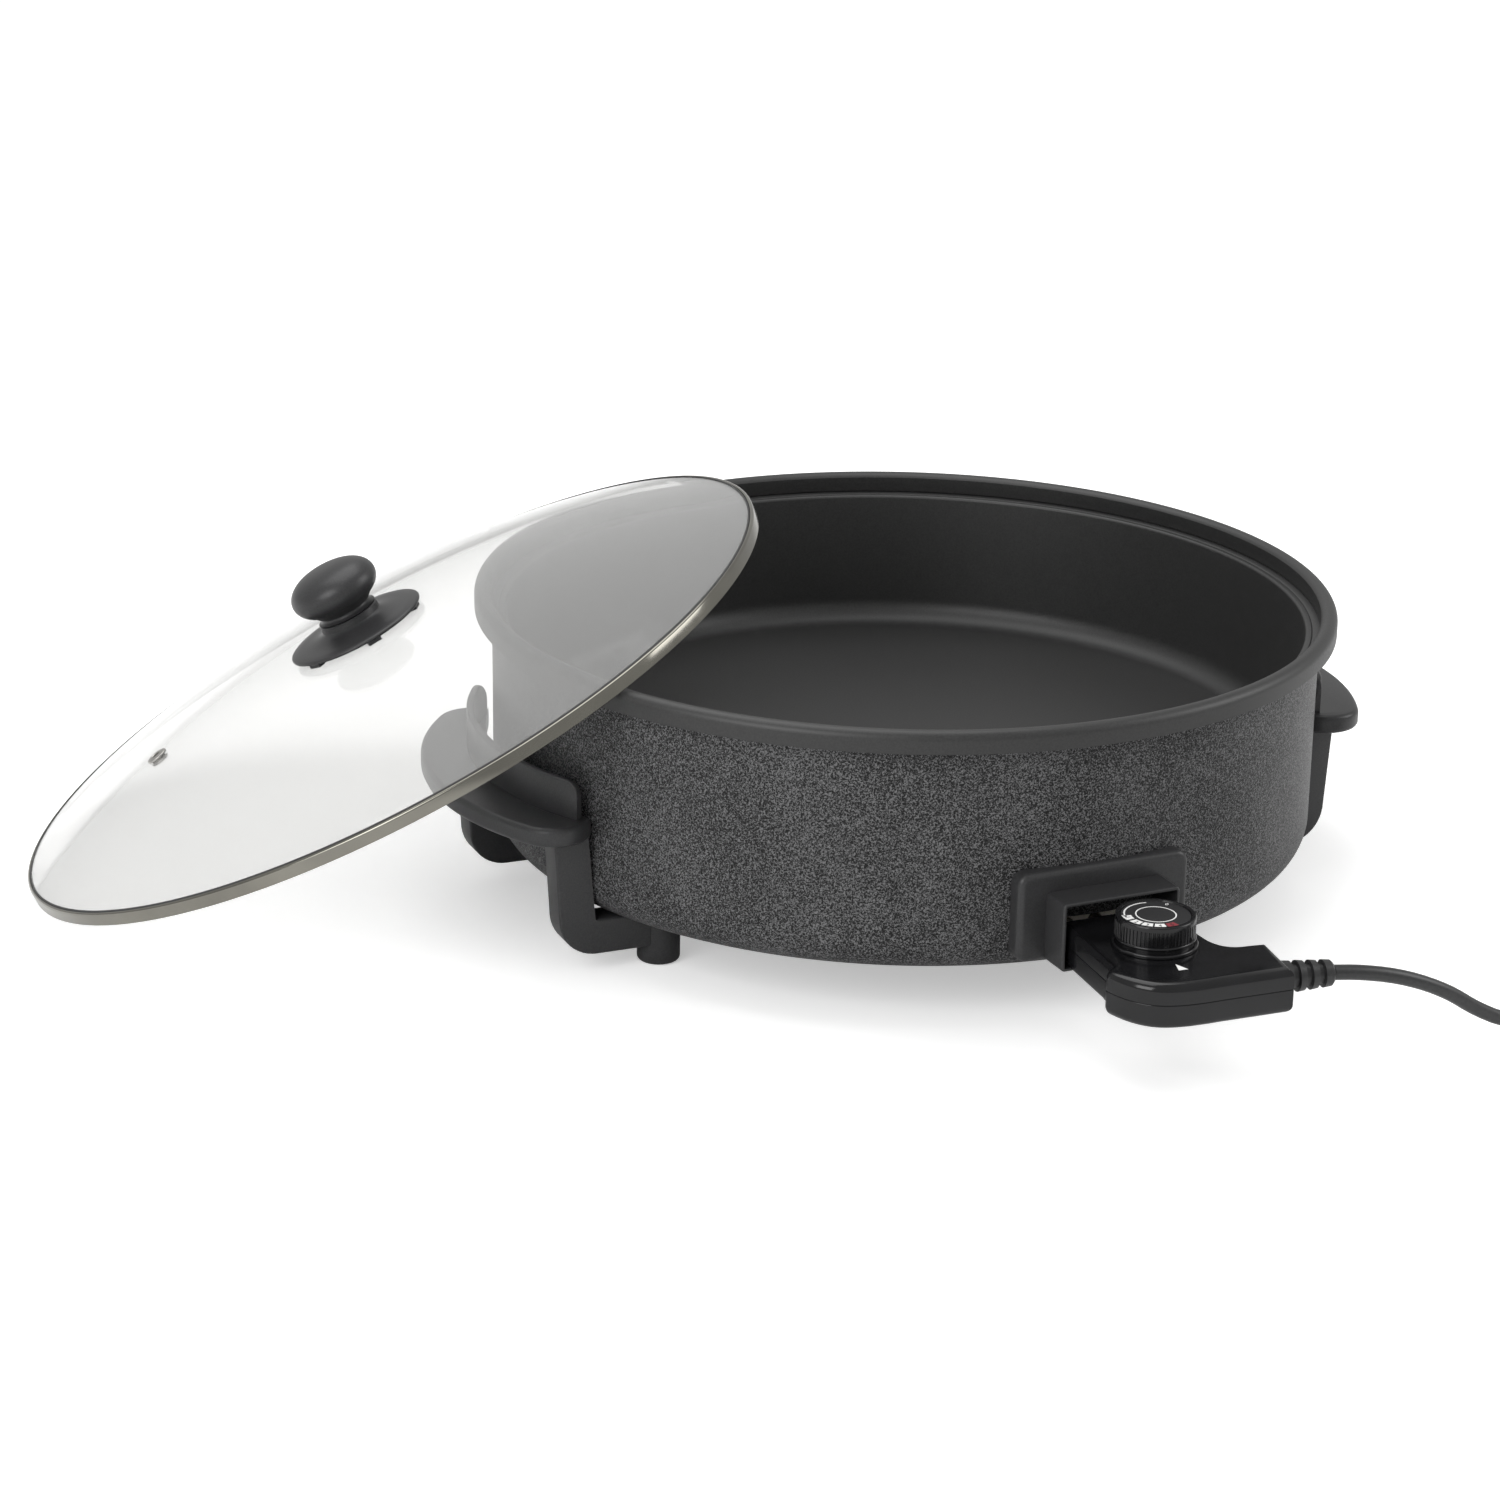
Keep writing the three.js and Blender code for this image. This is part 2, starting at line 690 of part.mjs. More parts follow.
function foot() {
  const body = turned([
    [0, tableLevel],
    [footRadius - footEdge, tableLevel],
    ...arcPoints(footRadius - footEdge, tableLevel + footEdge, footEdge, -60, 0, 2),
    [footRadius, -gap],
    [0, -gap],
  ], smallSides);
  const recess = rod(footScrewRecess, tableLevel - overrun, tableLevel + footScrewRecessDepth);
  const bore = rod(screwRadius + gap, tableLevel, overrun, smallSides / 2);
  return cut(body, recess, bore);
}

function footScrew() {
  const length = footLength - footScrewRecessDepth + jacketSheet + footNutHeight + footScrewGrip;
  const seat = tableLevel + footScrewRecessDepth - gap;
  return moved(screw(length, screwHeadRadius).rotateX(2 * quarter), 0, 0, seat);
}

// Inlet

function inletShroud() {
  const flangeMiddle = (flangeLow + flangeHigh) / 2;
  const inside = jacketRadius - 4 * flangeEdge - overrun;
  const flange = moved(
    facing(roundedOutline(flangeHalfWidth, flangeHigh - flangeMiddle, flangeRound), inside, flangeFront, flangeEdge),
    0, 0, flangeMiddle);
  const frameMiddle = (frameLow + frameHigh) / 2;
  const frameHalfHeight = frameHigh - frameMiddle;
  const frame = moved(
    facing(roundedOutline(frameHalfWidth, frameHalfHeight, frameRound), inside, frameFront, frameRound / 2),
    0, 0, frameMiddle);
  const opening = moved(
    facing(roundedOutline(frameHalfWidth - frameWall, frameHalfHeight - frameWall, frameRound / 2),
      inside - overrun, frameFront + overrun),
    0, 0, frameMiddle);
  const cutters = [wallCutter(gap), opening];
  for (const place of shroudScrewPlaces()) {
    cutters.push(alongScrew(place, rod(screwRadius + gap, -shroudScrewDepth - 2 * gap - overrun / 2, 0)));
  }
  return cut(join(flange, frame), ...cutters);
}

const blockFace = Math.sqrt(((jacketRadius - jacketSheet) * facetShare) ** 2 - frameHalfWidth ** 2) - gap;

function inletBlock() {
  const body = block(
    -frameHalfWidth, frameHalfWidth, -blockFace, inletBlockDepth - blockFace, baseFillet + gap, bodyHigh);
  const bores = [facingRod(probeRadius + runGap, 0, pinHeight, blockFace - inletBlockDepth - overrun, blockFace + overrun)];
  for (const side of [-1, 1]) {
    const x = (side * pinSpacing) / 2;
    bores.push(facingRod(pinRadius + gap / 2, x, pinHeight, blockFace - inletBlockDepth - overrun, blockFace + overrun));
  }
  return cut(body, ...bores);
}

// A rod along Y from one distance in front of the pan's axis to another.
function facingRod(radius, x, z, near, far, sides = smallSides) {
  return rod(radius, near, far, sides).rotateX(quarter).translate(x, 0, z);
}

function terminalPin(side) {
  const start = blockFace - inletBlockDepth - pinTail;
  return facingRod(pinRadius, (side * pinSpacing) / 2, pinHeight, start, pinReach, smallSides / 2);
}

function probePocket() {
  const near = probeTip - 2 * pocketWall;
  const far = near + pocketLength;
  const outer = facingRod(probeRadius + runGap + pocketWall, 0, pinHeight, near, far);
  const web = block(
    -pocketWebWidth / 2, pocketWebWidth / 2, -far, -near, pinHeight, floorHeight - floorThickness - gap);
  const bore = facingRod(probeRadius + runGap, 0, pinHeight, probeTip - runGap, far + overrun);
  return cut(join(outer, web), bore);
}

// Heating element

const elementHeight = floorHeight - floorThickness - gap - elementRadius;

function heatingElement() {
  const start = blockFace - inletBlockDepth - pinTail - gap;
  const side = pinSpacing / 2;
  const straight = 2 * elementRadius;
  const points = [];
  const half = [
    new THREE.Vector3(side, -start, pinHeight),
    new THREE.Vector3(side, straight - start, pinHeight),
    new THREE.Vector3(side + straight, -(start + elementRing) / 2, (pinHeight + elementHeight) / 2),
  ];
  points.push(...half);
  const arc = 360 - 2 * elementMouth;
  const arcSteps = 24;
  for (let i = 0; i <= arcSteps; i += 1) {
    const angle = THREE.MathUtils.degToRad(elementMouth - 90 + (arc * i) / arcSteps);
    points.push(new THREE.Vector3(elementRing * Math.cos(angle), elementRing * Math.sin(angle), elementHeight));
  }
  for (const point of half.reverse()) points.push(new THREE.Vector3(-point.x, point.y, point.z));
  return swept(new THREE.CatmullRomCurve3(points, false, "centripetal"), elementRadius, elementSides, elementSteps);
}

function elementClip() {
  const high = floorHeight - floorThickness - gap;
  const low = elementHeight - elementRadius - gap - clipWall;
  const body = block(
    elementRing - clipWidth / 2, elementRing + clipWidth / 2, -clipLength / 2, clipLength / 2, low, high);
  const slot = tube(
    elementRing + elementRadius + gap, elementRing - elementRadius - gap, low + clipWall, high + overrun, roundSides);
  return cut(body, slot);
}

// Controller

// The controller seen from above, with the stem towards the pan.
function bodyOutline() {
  const splay = THREE.MathUtils.degToRad(tailSplay);
  const along = new THREE.Vector2(Math.cos(splay), -Math.sin(splay));
  const across = new THREE.Vector2(Math.sin(splay), Math.cos(splay));
  const tail = new THREE.Vector2(tailLength, -tailMiddle);
  const nearCorner = tail.clone().addScaledVector(across, -tailWidth / 2);
  const farCorner = tail.clone().addScaledVector(across, tailWidth / 2);
  const hollow = farCorner.clone().addScaledVector(along, neckX - tailLength + neckRadius / 2);
  const outline = new THREE.Shape();
  outline.moveTo(stemHalfWidth, -stemEnd);
  outline.lineTo(-stemHalfWidth, -stemEnd);
  outline.lineTo(-stemHalfWidth, -frameFront);
  outline.lineTo(-stemShoulderHalfWidth, -shoulderY);
  const cornerStart = -shoulderY - shoulderRound;
  const cornerEnd = new THREE.Vector2(cornerWidth - bodyLeft, cornerStart - cornerLength);
  const lean = ((shoulderRound / 2) * cornerBulge) / (cornerLength - cornerBulge);
  outline.quadraticCurveTo(-bodyLeft - lean, cornerStart + shoulderRound / 2, -bodyLeft, cornerStart);
  outline.quadraticCurveTo(cornerBulge - bodyLeft, cornerEnd.y + cornerBulge, cornerEnd.x, cornerEnd.y);
  outline.quadraticCurveTo(cornerEnd.x / 2, -bodyFront, -cornerEnd.x / 2, -bodyFront);
  outline.lineTo(nearCorner.x, nearCorner.y);
  outline.lineTo(farCorner.x, farCorner.y);
  outline.lineTo(hollow.x, hollow.y);
  outline.quadraticCurveTo(neckX, hollow.y, neckX, -dialY);
  outline.lineTo(stemHalfWidth, -frameFront);
  outline.closePath();
  return outline;
}

function bodySolid(inset, low, high, edge) {
  const size = Math.max(edge, gap);
  return new THREE.ExtrudeGeometry(ringOf(bodyOutline(), 4), {
    depth: high - low - 2 * size,
    bevelEnabled: true,
    bevelThickness: size,
    bevelSize: size,
    bevelOffset: -size - inset,
    bevelSegments: edge > 0 ? 2 : 1,
  }).translate(0, 0, low + size);
}

// The part of the stem's underside that is cut away so that it goes into the shroud.
function stemRelief() {
  return block(
    -bodyLeft - overrun, bodyLeft + overrun, -shoulderY + shoulderRound, -stemEnd + overrun,
    bodyLow - overrun, stemLow);
}

function stemBores() {
  const bores = [facingRod(probeRadius + gap, 0, pinHeight, stemEnd - overrun, stemEnd + shellWall + overrun)];
  for (const side of [-1, 1]) {
    bores.push(facingRod(
      pinRadius + socketWall + gap, (side * pinSpacing) / 2, pinHeight, stemEnd - overrun, stemEnd + shellWall + overrun));
  }
  return bores;
}

const tailDirection = new THREE.Vector3(
  Math.cos(THREE.MathUtils.degToRad(tailSplay)), -Math.sin(THREE.MathUtils.degToRad(tailSplay)), 0);
const tailHeight = (bodyLow + bodyHigh) / 2;
const tailFace = new THREE.Vector3(tailLength, -tailMiddle, tailHeight);

// A shape drawn along +Z from the origin, turned to follow the cord out of the tail.
function outOfTail(geometry, distance) {
  const turn = new THREE.Quaternion().setFromUnitVectors(new THREE.Vector3(0, 0, 1), tailDirection);
  const place = tailFace.clone().addScaledVector(tailDirection, distance);
  return geometry.applyQuaternion(turn).translate(place.x, place.y, place.z);
}

function cordMouth() {
  return outOfTail(rod(cordDiameter / 2 + gap, -shellWall - overrun, overrun), 0);
}

function shellHalf(low, high) {
  const outer = bodySolid(0, bodyLow, bodyHigh, shellEdge);
  const inner = bodySolid(shellWall, bodyLow + shellWall, bodyHigh - shellWall, 0);
  const reach = frameFront + bodyFront;
  const keep = block(-reach, reach, -reach, 0, low, high);
  const shell = solid(outer).subtract(solid(inner)).subtract(solid(stemRelief()));
  const stemFloor = solid(block(
    -stemHalfWidth + gap, stemHalfWidth - gap, -shoulderY + shoulderRound - shellWall, -stemEnd - gap,
    stemLow, stemLow + shellWall));
  const bored = [...stemBores(), cordMouth()].reduce(
    (rest, tool) => rest.subtract(solid(tool)), shell.add(stemFloor));
  return bored.intersect(solid(keep));
}

function controllerTop() {
  const half = shellHalf(partingHeight + gap / 2, bodyHigh);
  const shaftBore = moved(rod(dialShaftRadius + runGap, partingHeight, bodyHigh + overrun), 0, -dialY, 0);
  const bosses = shellScrewPlaces().map(([x, y]) =>
    moved(rod(bossRadius, partingHeight + gap / 2, bodyHigh - shellWall / 2, smallSides / 2), x, y, 0));
  const bores = shellScrewPlaces().map(([x, y]) =>
    moved(rod(screwRadius + gap, partingHeight - overrun, bodyHigh - 2 * shellWall, smallSides / 2), x, y, 0));
  let result = half;
  for (const boss of bosses) result = result.add(solid(boss));
  for (const bore of [...bores, shaftBore]) result = result.subtract(solid(bore));
  return geometryOf(result);
}

function controllerBottom() {
  const half = shellHalf(bodyLow, partingHeight - gap / 2);
  let result = half;
  for (const [x, y] of shellScrewPlaces()) {
    const boss = rod(bossRadius + shellWall / 2, bodyLow + shellWall / 2, partingHeight - gap / 2, smallSides);
    result = result.add(solid(moved(boss, x, y, 0)));
  }
  for (const [x, y] of shellScrewPlaces()) {
    const head = rod(screwHeadRadius + gap, bodyLow - overrun, bodyLow + screwHeadHeight + gap);
    const bore = rod(screwRadius + gap, bodyLow, partingHeight + overrun, smallSides / 2);
    result = result.subtract(solid(moved(head, x, y, 0))).subtract(solid(moved(bore, x, y, 0)));
  }
  return geometryOf(result);
}

function shellScrewPlaces() {
  return [[-shellScrewX, -shellScrewY], [shellScrewX, -shellScrewY]];
}

function shellScrew() {
  const length = bodyHigh - bodyLow - 3 * shellWall - screwHeadHeight - gap;
  return moved(screw(length).rotateX(2 * quarter), 0, 0, bodyLow + screwHeadHeight);
}

// Dial: a knurled cap with a bead round its foot, a recessed face and a printed disc.
const dialLow = bodyHigh + gap;
const dialHigh = dialLow + dialHeight + dialBaseHeight;

function controlDial() {
  const knurled = new THREE.Shape();
  for (let i = 0; i < dialKnurls; i += 1) {
    for (const [share, radius] of [[0, dialRadius], [0.5, dialRadius - dialKnurlDepth]]) {
      const angle = ((i + share) * 4 * quarter) / dialKnurls;
      const [x, y] = [radius * Math.cos(angle), radius * Math.sin(angle)];
      if (i + share === 0) knurled.moveTo(x, y);
      else knurled.lineTo(x, y);
    }
  }
  knurled.closePath();
  const cap = raised(knurled, dialLow, dialHigh - dialBandHeight);
  const band = rod(dialRadius, dialHigh - 2 * dialBandHeight, dialHigh, dialKnurls);
  const foot = turned([
    [0, dialLow],
    [dialBaseRadius, dialLow],
    [dialBaseRadius, dialLow + dialBaseHeight / 2],
    [dialBaseRadius - dialBaseHeight / 2, dialLow + dialBaseHeight],
    [0, dialLow + dialBaseHeight],
  ], dialKnurls);
  const recess = rod(dialRadius - dialRimWidth, dialHigh - dialFaceRecess, dialHigh + overrun, dialKnurls);
  const hollow = rod(dialRadius - 2 * dialRimWidth, dialLow - overrun, dialHigh - 3 * dialFaceRecess, smallSides);
  const hub = rod(2 * dialShaftRadius, dialLow, dialHigh - 2 * dialFaceRecess, smallSides);
  const bore = rod(dialShaftRadius + gap, dialLow - overrun, dialLow + dialShaftLength / 2);
  return cut(join(cut(join(cap, band, foot), hollow), hub), recess, bore);
}

function dialFace() {
  const low = dialHigh - dialFaceRecess + gap / 2;
  return rod(dialRadius - dialRimWidth - gap, low, low + dialFaceThickness, dialKnurls);
}

function dialShaft() {
  const high = dialLow + dialShaftLength / 2 - gap;
  return rod(dialShaftRadius, high - dialShaftLength, high);
}

// Inside the controller: a bracket under the dial's shaft, a bimetal blade, the probe and two sockets.
const bracketLow = stemLow + shellWall + gap;

function thermostatFrame() {
  const halfWidth = thermostatWidth / 2;
  const near = -dialY - thermostatLength / 2;
  const plate = block(
    -halfWidth, halfWidth, near, near + thermostatLength, bracketLow, bracketLow + thermostatThickness);
  const top = dialLow - dialShaftLength / 2 - 2 * gap - bimetalThickness;
  const post = block(-halfWidth / 2, halfWidth / 2, near, near + thermostatThickness * 2, bracketLow, top);
  return join(plate, post);
}

function bimetalBlade() {
  const low = dialLow - dialShaftLength / 2 - gap - bimetalThickness;
  const near = -dialY - thermostatLength / 2;
  return block(-bimetalWidth / 2, bimetalWidth / 2, near, near + bimetalLength, low, low + bimetalThickness);
}

function probeRod() {
  return facingRod(probeRadius, 0, pinHeight, probeTip, stemEnd + shellWall + 4 * probeRadius);
}

function contactSocket(side) {
  const near = stemEnd + gap;
  const x = (side * pinSpacing) / 2;
  const outer = facingRod(pinRadius + socketWall, x, pinHeight, near, near + socketLength);
  const bore = facingRod(pinRadius + gap, x, pinHeight, near - overrun, pinReach + runGap);
  return cut(outer, bore);
}

function cordClamp() {
  const body = block(
    -clampLength / 2, clampLength / 2, -clampWidth / 2, clampWidth / 2, -clampHeight / 2, clampHeight / 2);
  const turn = THREE.MathUtils.degToRad(-tailSplay);
  const inside = tailFace.clone().addScaledVector(tailDirection, -shellWall - clampLength);
  return body.rotateZ(turn).translate(inside.x, inside.y, bodyLow + shellWall + gap + clampHeight / 2);
}

// Strain relief: a tapered boot with rings cut into it.
function strainRelief() {
  const points = [[0, gap], [reliefRadius, gap]];
  const pitch = reliefLength / (reliefGrooves + 1);
  for (let i = 1; i <= reliefGrooves; i += 1) {
    const share = i / (reliefGrooves + 1);
    const radius = reliefRadius + (reliefTipRadius - reliefRadius) * share;
    const middle = pitch * i;
    points.push([radius, middle - pitch / 4]);
    points.push([radius - reliefGrooveDepth, middle - pitch / 8]);
    points.push([radius - reliefGrooveDepth, middle + pitch / 8]);
    points.push([radius, middle + pitch / 4]);
  }
  points.push([reliefTipRadius, reliefLength - reliefGrooveDepth]);
  points.push([reliefTipRadius - reliefGrooveDepth, reliefLength]);
  points.push([0, reliefLength]);
  return outOfTail(turned(points, smallSides), 0);
}

// Cord

const cordRadius = cordDiameter / 2;
const cordOnTable = tableLevel + cordRadius;
const coilLow = tableLevel + tieThickness + gap + cordRadius;
const coilOuterRadius = coilMiddleRadius + (coilPitch * coilTurnsPerLayer) / 2;
const cordExit = tailFace.clone().addScaledVector(tailDirection, reliefLength + 2 * gap);

// The route from the strain relief to the coil, on one smooth curve; the points are chosen by eye
// and count from the tail's end face and the table.
function cordRoute() {
  const middle = [
    [38.5, -5.7, 44.7],
    [55.5, -7.4, 41],
    [71.5, -8, 35.2],
    [86.5, -8, 27.6],
    [101.5, -7.4, 17.8],
    [117.5, -6.4, 9.5],
    [134.5, -5, 5.1],
    [152.5, -3.7, 3.8],
    [174.5, -2.6, 3.8],
  ].map(([x, y, z]) => new THREE.Vector3(tailFace.x + x, tailFace.y + y, tableLevel + z));
  const end = coilStart();
  const straight = end.clone().add(new THREE.Vector3(-cordDiameter - gap, 0, 0));
  const last = end.clone().add(new THREE.Vector3(-gap, 0, 0));
  return [cordExit, ...middle, straight, last];
}

function coilStart() {
  return new THREE.Vector3(coilX - cordDiameter, coilY - coilOuterRadius, coilLow);
}

function powerCord() {
  const curve = new THREE.CatmullRomCurve3(cordRoute(), false, "centripetal");
  const steps = Math.ceil(curve.getLength() / cordStep);
  return swept(curve, cordRadius, cordSides, steps);
}

// Centre of the coiled cord at a number of turns from its start: it spirals in on the table and out
// again on top, and climbs in the half turn where the spiral reverses.
function coilPoint(turns) {
  const reverse = coilTurnsPerLayer;
  const inwards = Math.min(turns, 2 * reverse - turns);
  const radius = coilOuterRadius - coilPitch * inwards;
  const climb = THREE.MathUtils.smoothstep(turns, reverse - coilClimbShare, reverse + coilClimbShare);
  const angle = turns * 4 * quarter - quarter;
  const height = coilLow + coilPitch * (coilLayers - 1) * climb;
  return new THREE.Vector3(coilX + radius * Math.cos(angle), coilY + radius * Math.sin(angle), height);
}

class CoilCurve extends THREE.Curve {
  constructor() {
    super();
    this.turns = coilLayers * coilTurnsPerLayer;
    this.points = [coilStart()];
    const count = this.turns * coilSteps;
    for (let i = 0; i <= count; i += 1) this.points.push(coilPoint((this.turns * i) / count));
    const last = this.points[this.points.length - 1];
    this.points.push(last.clone().add(new THREE.Vector3(cordDiameter, 0, 0)));
    this.arcLengthDivisions = this.points.length - 1;
  }

  getPoint(share, target = new THREE.Vector3()) {
    const place = share * (this.points.length - 1);
    const before = Math.min(Math.floor(place), this.points.length - 2);
    return target.lerpVectors(this.points[before], this.points[before + 1], place - before);
  }

  getPointAt(share, target) {
    return this.getPoint(share, target);
  }

  getTangent(share, target = new THREE.Vector3()) {
    const place = Math.round(share * (this.points.length - 1));
    const before = this.points[Math.max(place - 1, 0)];
    const after = this.points[Math.min(place + 1, this.points.length - 1)];
    const ends = place <= 1 || place >= this.points.length - 2;
    if (ends) return target.set(1, 0, 0);
    return target.subVectors(after, before).normalize();
  }

  getTangentAt(share, target) {
    return this.getTangent(share, target);
  }
}

function cordCoil() {
  const curve = new CoilCurve();
  return swept(curve, cordRadius, coilSides, curve.points.length - 1);
}

// The least distance between the surfaces of turns of the coil that aren't next to each other.
function coilLeastGap() {
  const turns = coilLayers * coilTurnsPerLayer;
  const count = turns * coilSteps * 4;
  const points = [];
  for (let i = 0; i <= count; i += 1) points.push(coilPoint((turns * i) / count));
  let least = Infinity;
  for (let i = 0; i <= count; i += 1) {
    for (let j = i + coilSteps * 2; j <= count; j += 1) {
      least = Math.min(least, points[i].distanceTo(points[j]) - cordDiameter);
    }
  }
  return least;
}

// A band round the coil's turns, on the side away from the pan's front.
function cordTie() {
  const innerHalfWidth = coilPitch / 2 + cordRadius + gap * 1.5;
  const innerHalfHeight = (coilPitch * (coilLayers - 1)) / 2 + cordRadius + gap;
  const outline = roundedOutline(innerHalfWidth + tieThickness, innerHalfHeight + tieThickness, cordRadius);
  const inside = roundedOutline(innerHalfWidth, innerHalfHeight, cordRadius - tieThickness);
  const outer = raised(outline, -tieWidth / 2, tieWidth / 2, 0, 3);
  const inner = raised(inside, -tieWidth, tieWidth, 0, 3);
  const middle = coilLow + (coilPitch * (coilLayers - 1)) / 2;
  return cut(outer, inner).rotateX(quarter).rotateZ(quarter).translate(coilX, coilY + coilMiddleRadius, middle);
}

const plugAxis = tableLevel + plugRadius;
const plugNeck = new THREE.Vector3(coilX + cordDiameter + tailCordLength, coilY - coilOuterRadius, plugAxis);

function cordTail() {
  const start = new THREE.Vector3(coilX + cordDiameter + gap, plugNeck.y, coilLow + coilPitch * (coilLayers - 1));
  const end = new THREE.Vector3(plugNeck.x - gap, plugNeck.y, plugAxis);
  const curve = new THREE.CatmullRomCurve3([
    start,
    start.clone().add(new THREE.Vector3(cordDiameter, 0, 0)),
    end.clone().add(new THREE.Vector3(-cordDiameter, 0, 0)),
    end,
  ], false, "centripetal");
  return swept(curve, cordRadius, cordSides, 5);
}

// A shape drawn along +Z, laid down along +X with its start at the plug's neck.
function alongPlug(geometry) {
  return geometry.rotateY(quarter).translate(plugNeck.x, plugNeck.y, plugNeck.z);
}

function plugBody() {
  const shoulder = plugLength - plugNoseLength;
  const body = turned([
    [0, 0],
    [plugNeckRadius, 0],
    [plugNeckRadius, shoulder / 3],
    [plugRadius * 0.8, shoulder * 0.8],
    [plugRadius, shoulder],
    [plugRadius, plugLength - tieThickness],
    [plugRadius - tieThickness, plugLength],
    [0, plugLength],
  ], smallSides);
  const bores = [-1, 1].map((side) =>
    moved(rod(plugPinRadius + gap / 2, plugLength - plugNoseLength / 2, plugLength + overrun), 0, (side * plugPinSpacing) / 2, 0));
  return alongPlug(cut(body, ...bores));
}

function plugPin(side) {
  const low = plugLength - plugNoseLength / 2 + gap;
  const high = plugLength + plugPinLength;
  const pin = turned([
    [0, low],
    [plugPinRadius, low],
    [plugPinRadius, high - plugPinRadius],
    [plugPinRadius / 2, high],
    [0, high],
  ], smallSides / 2);
  return alongPlug(moved(pin, 0, (side * plugPinSpacing) / 2, 0));
}

// Lid, in its own frame: the axis is Z, and the steel band's lower edge is at zero

const glassRadius = lidRadius - lidBandSheet - gap;
const glassLow = lidBandHeight - lidBandSheet - gap - glassThickness;
const glassTop = lidBandHeight + domeRise;
const domeStart = lidRadius - lidLip;

// Height of the dome's outer surface at a radius: part of a sphere.
function domeHeight(radius) {
  const sphere = (domeStart * domeStart + domeRise * domeRise) / (2 * domeRise);
  return glassTop - sphere + Math.sqrt(sphere * sphere - radius * radius);
}

function glassLid() {
  const rings = 5;
  const under = [];
  const over = [];
  for (let i = 0; i < rings; i += 1) {
    const radius = (domeStart * i) / rings;
    under.push([radius, domeHeight(radius) - glassThickness]);
    over.unshift([radius, domeHeight(radius)]);
  }
  const shape = turned([
    ...under,
    [domeStart - gap, glassLow + glassEdge],
    [domeStart + gap, glassLow],
    [glassRadius, glassLow],
    [glassRadius, glassLow + glassThickness],
    [domeStart, glassLow + glassThickness],
    [domeStart - gap * 2, lidBandHeight],
    ...over,
  ], roundSides);
  const knobHole = rod(knobScrewRadius + gap, 0, glassTop + overrun);
  const ventHole = ventShaped(rod(ventRadius + ventWall + gap / 2, -glassThickness - overrun, overrun));
  return cut(shape, knobHole, ventHole);
}

function lidRim() {
  const inner = lidRadius - lidBandSheet;
  const lip = lidRadius - lidLip;
  const lowLip = glassLow - gap;
  return turned([
    [inner, 0],
    [lidRadius, 0],
    [lidRadius, lidBandHeight - lidBandSheet / 2],
    [lidRadius - lidBandSheet / 2, lidBandHeight],
    [lip, lidBandHeight],
    [lip, lidBandHeight - lidBandSheet],
    [inner, lidBandHeight - lidBandSheet],
    [inner, lowLip],
    [lip + gap, lowLip],
    [lip + gap, lowLip - lidBandSheet],
    [inner, lowLip - lidBandSheet],
  ], roundSides);
}

// A shape drawn round Z at the glass's outer surface, moved to the vent's place and tilted with the dome.
function ventShaped(geometry) {
  const bearing = THREE.MathUtils.degToRad(ventBearing);
  const sphere = (domeStart * domeStart + domeRise * domeRise) / (2 * domeRise);
  const slope = Math.asin(ventPlace / sphere);
  return geometry.rotateY(slope).translate(ventPlace, 0, domeHeight(ventPlace)).rotateZ(bearing);
}

function ventGrommet() {
  const outer = ventRadius + ventWall;
  const lip = gap * 1.5;
  return ventShaped(turned([
    [ventRadius, -glassThickness - lip - ventWall / 2],
    [outer + ventFlange / 2, -glassThickness - lip - ventWall / 2],
    [outer + ventFlange / 2, -glassThickness - lip],
    [outer, -glassThickness - lip],
    [outer, lip],
    [outer + ventFlange, lip],
    [outer + ventFlange, lip + ventWall / 2],
    [outer, lip + ventWall],
    [ventRadius, lip + ventWall],
  ], smallSides));
}

const flangeHeight = glassTop + gap + knobNubHeight - (glassTop - domeHeight(knobFlangeRadius - knobNubDepth));
const collarHeight = flangeHeight + knobFlangeThickness + knobFlangeRise;

// The knob's foot: a thin flange that stands on nubs, and a collar under the grip.
function knobBase() {
  const skirt = knobFlangeThickness;
  const body = turned([
    [0, flangeHeight + skirt / 2],
    [knobCollarRadius, flangeHeight + skirt / 2],
    [knobFlangeRadius - skirt, flangeHeight],
    [knobFlangeRadius, flangeHeight],
    [knobFlangeRadius, flangeHeight + skirt / 2],
    [knobFlangeRadius - skirt / 2, flangeHeight + skirt],
    [knobCollarRadius + skirt, collarHeight - skirt / 2],
    [knobCollarRadius, collarHeight],
    [knobCollarRadius, flangeHeight + knobBaseHeight],
    [0, flangeHeight + knobBaseHeight],
  ], knobSides);
  const nubs = [];
  for (let i = 0; i < knobNubCount; i += 1) {
    const far = knobFlangeRadius - skirt / 2;
    const nub = block(
      far - knobNubDepth, far, -knobNubWidth / 2, knobNubWidth / 2,
      flangeHeight - knobNubHeight, flangeHeight + skirt / 2);
    nubs.push(nub.rotateZ(THREE.MathUtils.degToRad(knobNubTurn) + (i * 4 * quarter) / knobNubCount));
  }
  const bore = rod(knobScrewRadius + gap, 0, flangeHeight + knobBaseHeight + overrun);
  return cut(join(body, ...nubs), bore);
}

